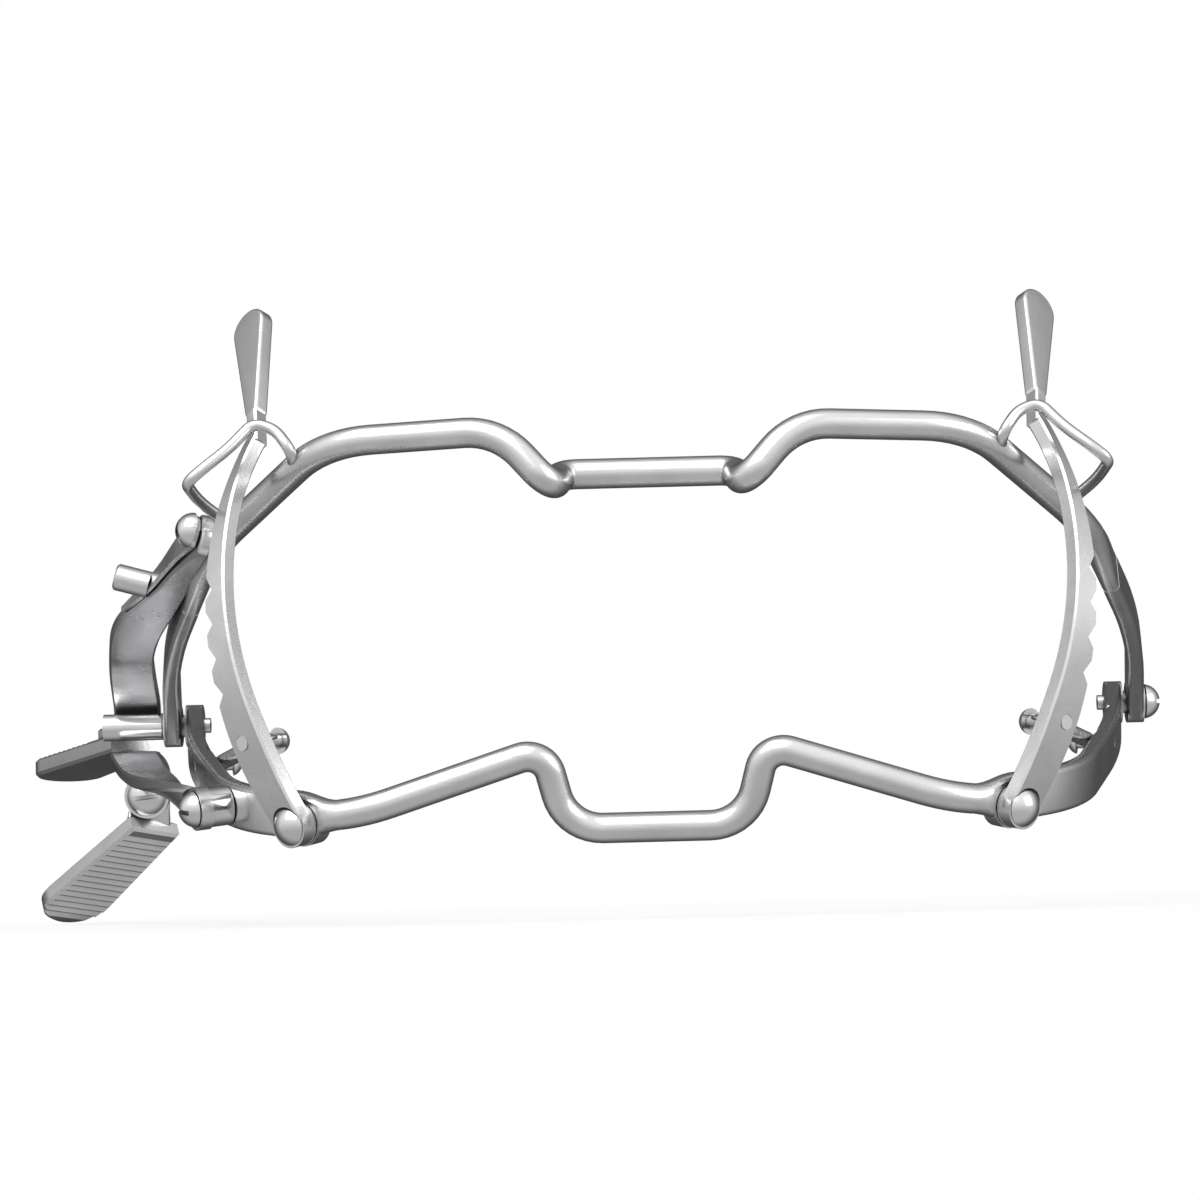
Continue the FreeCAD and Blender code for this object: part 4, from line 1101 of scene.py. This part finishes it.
@dataclass
class UpperLeverGroup:
    """Upper lever with the strap behind its edge and the stub peg that stands on the strap.

    Args:
        chamfer: Chamfer of the lever, in metres.
        strap_chamfer: Chamfer of the strap, in metres.
        peg_radius: Radius of the peg, in metres.
        peg_length: Length of the peg, in metres.
        peg_ease: Chamfer of the peg's end, in metres.
        peg_foot: Place of the peg's foot across, forward and over the upper bow's plane.
        peg_run: Direction of the peg from its foot.
    """

    chamfer: float = 0.3 * MM
    strap_chamfer: float = 0.12 * MM
    peg_radius: float = 1.7 * MM
    peg_length: float = 4.4 * MM
    peg_ease: float = 0.25 * MM
    peg_foot: tuple[float, float, float] = (-63.0, 36.9, 0.4)
    peg_run: tuple[float, float, float] = (-0.96, -0.03, 0.27)

    PEG_POINTS = 40
    EYE = 5.4
    EYE_STEPS = (2.6, 2.3, 1.6, 0.8)

    # Lever from its screw to the barrel, in millimetres: place across, forward and over the upper
    # bow's plane, share of the section that lies flat, width and depth
    LEVER_ROUTE = (
        (-54.83, 48.9, 0.0, 0.0, 1.6, EYE),
        (-56.6, 45.2, 0.0, 0.0, 2.4, 3.9),
        (-58.1, 41.7, 0.0, 0.0, 3.2, 2.8),
        (-60.4, 36.5, 0.0, 0.0, 4.1, 2.0),
        (-62.8, 32.1, 0.1, 0.25, 5.3, 1.7),
        (-65.0, 28.0, 0.4, 0.55, 6.2, 1.6),
        (-66.6, 23.5, 0.8, 0.85, 6.2, 1.6),
        (-67.9, 17.2, 1.4, 1.0, 5.8, 1.6),
        (-68.8, 9.5, 2.5, 1.0, 6.0, 1.6),
        (-69.4, 1.0, 2.95, 1.0, 6.2, 1.6),
    )
    HEAD_RUN_FROM = (-56.9, 44.2)

    # Lever's tail beyond the barrel, in millimetres from the hinge axis: place, direction of the
    # section's width, and width
    TAIL_DEPTH = 1.6
    TAIL_ACROSS = (0.82, 0.56, -0.1)
    TAIL_ROUTE = (
        ((-69.85, 3.8, 0.75), (1.0, 0.0, 0.0), 6.2),
        ((-70.45, 6.5, -0.5), TAIL_ACROSS, 6.2),
        ((-73.59, 10.91, -1.49), TAIL_ACROSS, 6.0),
    )

    # Strap's rounded end: distance beyond its middle and depth there; then its route over the
    # upper bow's plane: place across and forward, width and depth, all in millimetres
    STRAP_END = (-56.08, -42.42, 25.06)
    STRAP_END_RUN = (0.4, 0.91)
    STRAP_END_WIDTH = 0.8
    STRAP_END_STEPS = ((2.0, 1.6), (1.5, 3.0), (0.6, 4.0), (-0.4, 4.2))
    STRAP_LEAN = (0.88, 0.48)
    STRAP_RISE = 0.3
    STRAP_ROUTE = (
        (-58.5, 45.4, 0.75, 2.8),
        (-60.6, 41.4, 0.7, 2.0),
        (-63.1, 36.9, 0.65, 1.7),
        (-65.3, 33.6, 0.6, 1.4),
        (-67.1, 31.2, 0.5, 0.8),
    )

    def build(self, finishes: Finishes, forge: GeometryTree, rest: Matrix) -> None:
        """Build the three pieces.

        Args:
            finishes: The materials.
            forge: The tree that forges a strap.
            rest: Place of the hinge axis's own frame, in metres.
        """
        satin = finishes.made[Finish.SATIN]
        lever = self._forged("forged_upper_lever", self._lever(), forge, rest, self.chamfer, satin)
        strap = self._forged(
            "forged_lever_strap", self._strap(), forge, rest, self.strap_chamfer, satin
        )
        peg = self._peg(rest, satin)
        for piece, node in (
            (lever, "upper_lever"), (strap, "upper_lever_backing"), (peg, "stop_peg")
        ):
            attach(piece, "upper_frame")
            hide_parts(node)
            log.info("forged %s", piece.name)

    def _lever(self) -> list[Station]:
        """Lay out the lever: narrow and deep at its screw, wide and flat over the barrel.

        Returns:
            Its stations, from the screw to the tail.
        """
        plane = UPPER_PLANE
        flat = Vector((1.0, 0.0, 0.0))
        screw = plane.at(*self.LEVER_ROUTE[0][:2])
        head = (plane.at(*self.HEAD_RUN_FROM) - screw).normalized()
        side = head.cross(plane.upward())
        head_width = self.LEVER_ROUTE[0][4]
        rows = []
        for beyond in self.EYE_STEPS:
            depth = 2 * math.sqrt((self.EYE / 2) ** 2 - beyond ** 2)
            rows.append(Station(screw - head * beyond, side, head_width, depth))
        for x, reach, rise, share, width, depth in self.LEVER_ROUTE:
            across = side * (1.0 - share) + flat * share
            rows.append(Station(plane.at(x, reach, rise), across, width, depth))
        for place, across, width in self.TAIL_ROUTE:
            rows.append(Station(Vector(place), Vector(across), width, self.TAIL_DEPTH))
        return rows

    def _strap(self) -> list[Station]:
        """Lay out the strap along the lever's outer edge and a little behind it.

        Returns:
            Its stations, from the rounded end down.
        """
        plane = UPPER_PLANE
        aside, back = self.STRAP_LEAN
        side = Vector((aside, 0.0, 0.0)) - plane.forward() * back
        rows = []
        for beyond, depth in self.STRAP_END_STEPS:
            start = Vector(self.STRAP_END) + plane.at(*self.STRAP_END_RUN) * beyond
            rows.append(Station(start, side, self.STRAP_END_WIDTH, depth))
        for x, reach, width, depth in self.STRAP_ROUTE:
            rows.append(Station(plane.at(x, reach, self.STRAP_RISE), side, width, depth))
        return rows

    def _forged(
        self,
        name: str,
        stations: list[Station],
        forge: GeometryTree,
        rest: Matrix,
        chamfer: float,
        finish: bpy.types.Material,
    ) -> bpy.types.Object:
        """Forge one strap through its stations.

        Args:
            name: Name of the piece.
            stations: Its stations.
            forge: The tree that forges a strap.
            rest: Place of the hinge axis's own frame, in metres.
            chamfer: Size of the chamfer, in metres.
            finish: Its material.

        Returns:
            The piece.
        """
        base = bpy.data.meshes.new(name + "_stations")
        points = [rest @ (station.point * MM) for station in stations]
        links = [(index, index + 1) for index in range(len(points) - 1)]
        base.from_pydata(points, links, [])
        turn = rest.to_3x3()
        across = [part for station in stations for part in turn @ station.across]
        base.attributes.new("across", "FLOAT_VECTOR", "POINT").data.foreach_set("vector", across)
        for size in ("width", "depth"):
            sizes = [getattr(station, size) * MM for station in stations]
            base.attributes.new(size, "FLOAT", "POINT").data.foreach_set("value", sizes)
        piece = forge.mesh(name, base, Chamfer=chamfer, Finish=finish)
        self._shade(piece)
        return piece

    def _peg(self, rest: Matrix, finish: bpy.types.Material) -> bpy.types.Object:
        """Build the peg: a short round bar with a chamfered end.

        Args:
            rest: Place of the hinge axis's own frame, in metres.
            finish: Its material.

        Returns:
            The peg.
        """
        foot = rest @ (UPPER_PLANE.at(*self.peg_foot) * MM)
        axis = rest.to_3x3() @ Vector(self.peg_run).normalized()
        turn = axis.to_track_quat("Z", "Y")
        rings = (
            (self.peg_radius, 0.0),
            (self.peg_radius, self.peg_length - self.peg_ease),
            (self.peg_radius - self.peg_ease, self.peg_length),
        )
        count = self.PEG_POINTS
        points, faces = [], []
        for radius, height in rings:
            for step in range(count):
                angle = 2 * math.pi * step / count
                local = Vector((radius * math.cos(angle), radius * math.sin(angle), height))
                points.append(foot + turn @ local)
        for ring in range(len(rings) - 1):
            for step in range(count):
                near, ahead = ring * count + step, ring * count + (step + 1) % count
                faces.append((near, ahead, ahead + count, near + count))
        faces.append(tuple(reversed(range(count))))
        faces.append(tuple(range((len(rings) - 1) * count, len(rings) * count)))
        mesh = bpy.data.meshes.new("lever_peg")
        mesh.from_pydata(points, [], faces)
        mesh.materials.append(finish)
        peg = in_scene("lever_peg", mesh)
        self._shade(peg)
        return peg

    def _shade(self, piece: bpy.types.Object) -> None:
        """Shade a piece smooth up to its creases.

        Args:
            piece: The piece.
        """
        for polygon in piece.data.polygons:
            polygon.use_smooth = True
        piece.data.set_sharp_from_angle(angle=CREASE)


@dataclass
class Studio:
    """White floor, white surroundings, soft lamps and the camera.

    Args:
        pitch: Tilt of the gag against the camera's level, in radians.
        roll: Roll of the camera, in radians.
        distance: Distance from the camera to the hinge axis, in metres.
        height: Height of the camera over the hinge axis, square to its view, in metres.
        lens: Focal length in picture widths.
        aside: Share of the picture's width by which the gag's middle is right of centre.
        sensor: Width of the sensor, in millimetres.
        nearest: Distance from which the camera sees, in metres.
        front_reach: Part of the view from front to back over which the surroundings darken.
        front_light: Their light in front and behind.
        height_reach: Part of the height over which the surroundings brighten.
        height_light: Their light below and above.
        floor_half: Half the floor's width, in metres.
        floor_gap: Distance from the gag down to the floor, in metres.
        paper: Brightness of the floor's paper.
        fade_reach: Distance from the gag over which the floor fades into the white.
        fade: Share of white at the start and the end of that distance.
    """

    pitch: float = math.radians(4.0)
    roll: float = 0.0258
    distance: float = 500.0 * MM
    height: float = 15.3 * MM
    lens: float = 3725.0 / PHOTO_WIDTH
    aside: float = 51.0 / PHOTO_WIDTH
    sensor: float = 36.0
    nearest: float = 50.0 * MM
    front_reach: Span = (-0.3, 0.75)
    front_light: Span = (1.2, 0.2)
    height_reach: Span = (-0.6, 0.5)
    height_light: Span = (0.5, 1.0)
    floor_half: float = 3.0
    floor_gap: float = 0.3 * MM
    paper: float = 0.9
    fade_reach: Span = (0.1, 0.22)
    fade: Span = (0.8, 1.0)

    # Name, place from the hinge and width in metres, and power in watts
    LAMPS = (
        ("main_lamp", (-0.3, -0.55, 0.75), 0.9, 5.0),
        ("side_lamp", (0.75, -0.45, 0.3), 0.6, 1.6),
    )

    def build(self) -> None:
        """Build the surroundings and the camera."""
        self._camera()
        self._world()
        self._floor()
        self._lamps()
        log.info("built the studio")

    def _hinge(self) -> Vector:
        """Middle of the hinge axis, from the frame's own joint."""
        joint = next(row for row in frame["joints"] if row["name"] == "jaw_hinge")
        return Vector(joint["pos_m"])

    def rest(self) -> Matrix:
        """Place of the hinge axis's own frame, in which the photograph is level."""
        return Matrix.Translation(self._hinge()) @ Matrix.Rotation(self.pitch, 4, "X")

    def _camera(self) -> None:
        """Place the camera in front of the gag."""
        data = bpy.data.cameras.new("camera")
        data.sensor_width = self.sensor
        data.lens = self.lens * data.sensor_width
        data.shift_x = -self.aside
        data.clip_start = self.nearest
        camera = in_scene("camera", data)
        level = Matrix.Rotation(math.pi / 2, 4, "X")
        rolled = Matrix.Rotation(-self.roll, 4, "Z")
        place = self.rest() @ Matrix.Translation((0.0, -self.distance, self.height))
        camera.matrix_world = place @ level @ rolled
        bpy.context.scene.camera = camera

    def _world(self) -> None:
        """Build surroundings that look white and light the gag at a plain level."""
        world = bpy.data.worlds.new("studio")
        nodes = NodeTree.cleared(world)
        path = nodes.add("ShaderNodeLightPath")
        place = nodes.add("ShaderNodeTexCoord")
        split = nodes.add("ShaderNodeSeparateXYZ", {0: place.outputs["Generated"]})
        front = nodes.ramp(split.outputs["Y"], self.front_reach, self.front_light)
        above = nodes.ramp(split.outputs["Z"], self.height_reach, self.height_light)
        room = nodes.add("ShaderNodeBackground", {"Strength": nodes.math("MULTIPLY", front, above)})
        white = nodes.add("ShaderNodeBackground", {"Color": (1.0, 1.0, 1.0, 1.0), "Strength": 1.0})
        seen = nodes.math("MAXIMUM", path.outputs["Is Camera Ray"],
                          path.outputs["Is Transmission Ray"])
        mixed = nodes.add(
            "ShaderNodeMixShader", {"Fac": seen, 1: room.outputs[0], 2: white.outputs[0]}
        )
        nodes.add("ShaderNodeOutputWorld", {"Surface": mixed.outputs[0]})
        bpy.context.scene.world = world

    def _floor(self) -> None:
        """Lay a white floor under the gag that keeps its shadow and fades into the white."""
        low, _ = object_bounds()
        half, level = self.floor_half, low.z - self.floor_gap
        mesh = bpy.data.meshes.new("floor")
        corners = [(-half, -half, level), (half, -half, level), (half, half, level),
                   (-half, half, level)]
        mesh.from_pydata(corners, [], [(0, 1, 2, 3)])
        material = bpy.data.materials.new("floor paper")
        nodes = NodeTree.cleared(material)
        paper = nodes.add(
            "ShaderNodeBsdfDiffuse", {"Color": (self.paper, self.paper, self.paper, 1.0)}
        )
        glow = nodes.add("ShaderNodeEmission", {"Strength": 1.0})
        path = nodes.add("ShaderNodeLightPath")
        away = nodes.vector("LENGTH", nodes.add("ShaderNodeTexCoord").outputs["Object"])
        fade = nodes.ramp(away, self.fade_reach, self.fade)
        seen = nodes.math("MULTIPLY", path.outputs["Is Camera Ray"], fade)
        mixed = nodes.add(
            "ShaderNodeMixShader", {"Fac": seen, 1: paper.outputs[0], 2: glow.outputs[0]}
        )
        clear = nodes.add("ShaderNodeBsdfTransparent")
        shown = nodes.add(
            "ShaderNodeMixShader",
            {"Fac": path.outputs["Is Glossy Ray"], 1: mixed.outputs[0], 2: clear.outputs[0]},
        )
        nodes.add("ShaderNodeOutputMaterial", {"Surface": shown.outputs[0]})
        mesh.materials.append(material)
        in_scene("floor", mesh)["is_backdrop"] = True

    def _lamps(self) -> None:
        """Hang a large soft lamp over the front left and a weaker one at the right."""
        for name, place, width, power in self.LAMPS:
            self._lamp(name, Vector(place), width, power)

    def _lamp(self, name: str, place: Vector, width: float, power: float) -> None:
        """Hang one square lamp that faces the gag.

        Args:
            name: Name of the lamp.
            place: Its place, in metres from the hinge.
            width: Its width, in metres.
            power: Its power, in watts.
        """
        data = bpy.data.lights.new(name, "AREA")
        data.size = width
        data.energy = power
        lamp = in_scene(name, data)
        lamp.location = self._hinge() + place
        lamp.rotation_mode = "QUATERNION"
        lamp.rotation_quaternion = (-place).to_track_quat("-Z", "Y")


def main() -> None:
    """Build the looks of the gag in order."""
    logging.basicConfig(level=logging.INFO, format="%(name)s: %(message)s")
    bpy.context.scene.view_settings.view_transform = "Standard"
    effects = SurfaceEffects()
    effects.build()
    finishes = Finishes(effects)
    finishes.build()
    SmoothSteelwork().build(finishes)
    winding = SpringWinder().tree()
    for side in Side:
        RatchetSpring(side).build(finishes, winding)
    studio = Studio()
    UpperLeverGroup().build(finishes, StrapForge().tree(), studio.rest())
    studio.build()


if __name__ == "__main__":
    main()
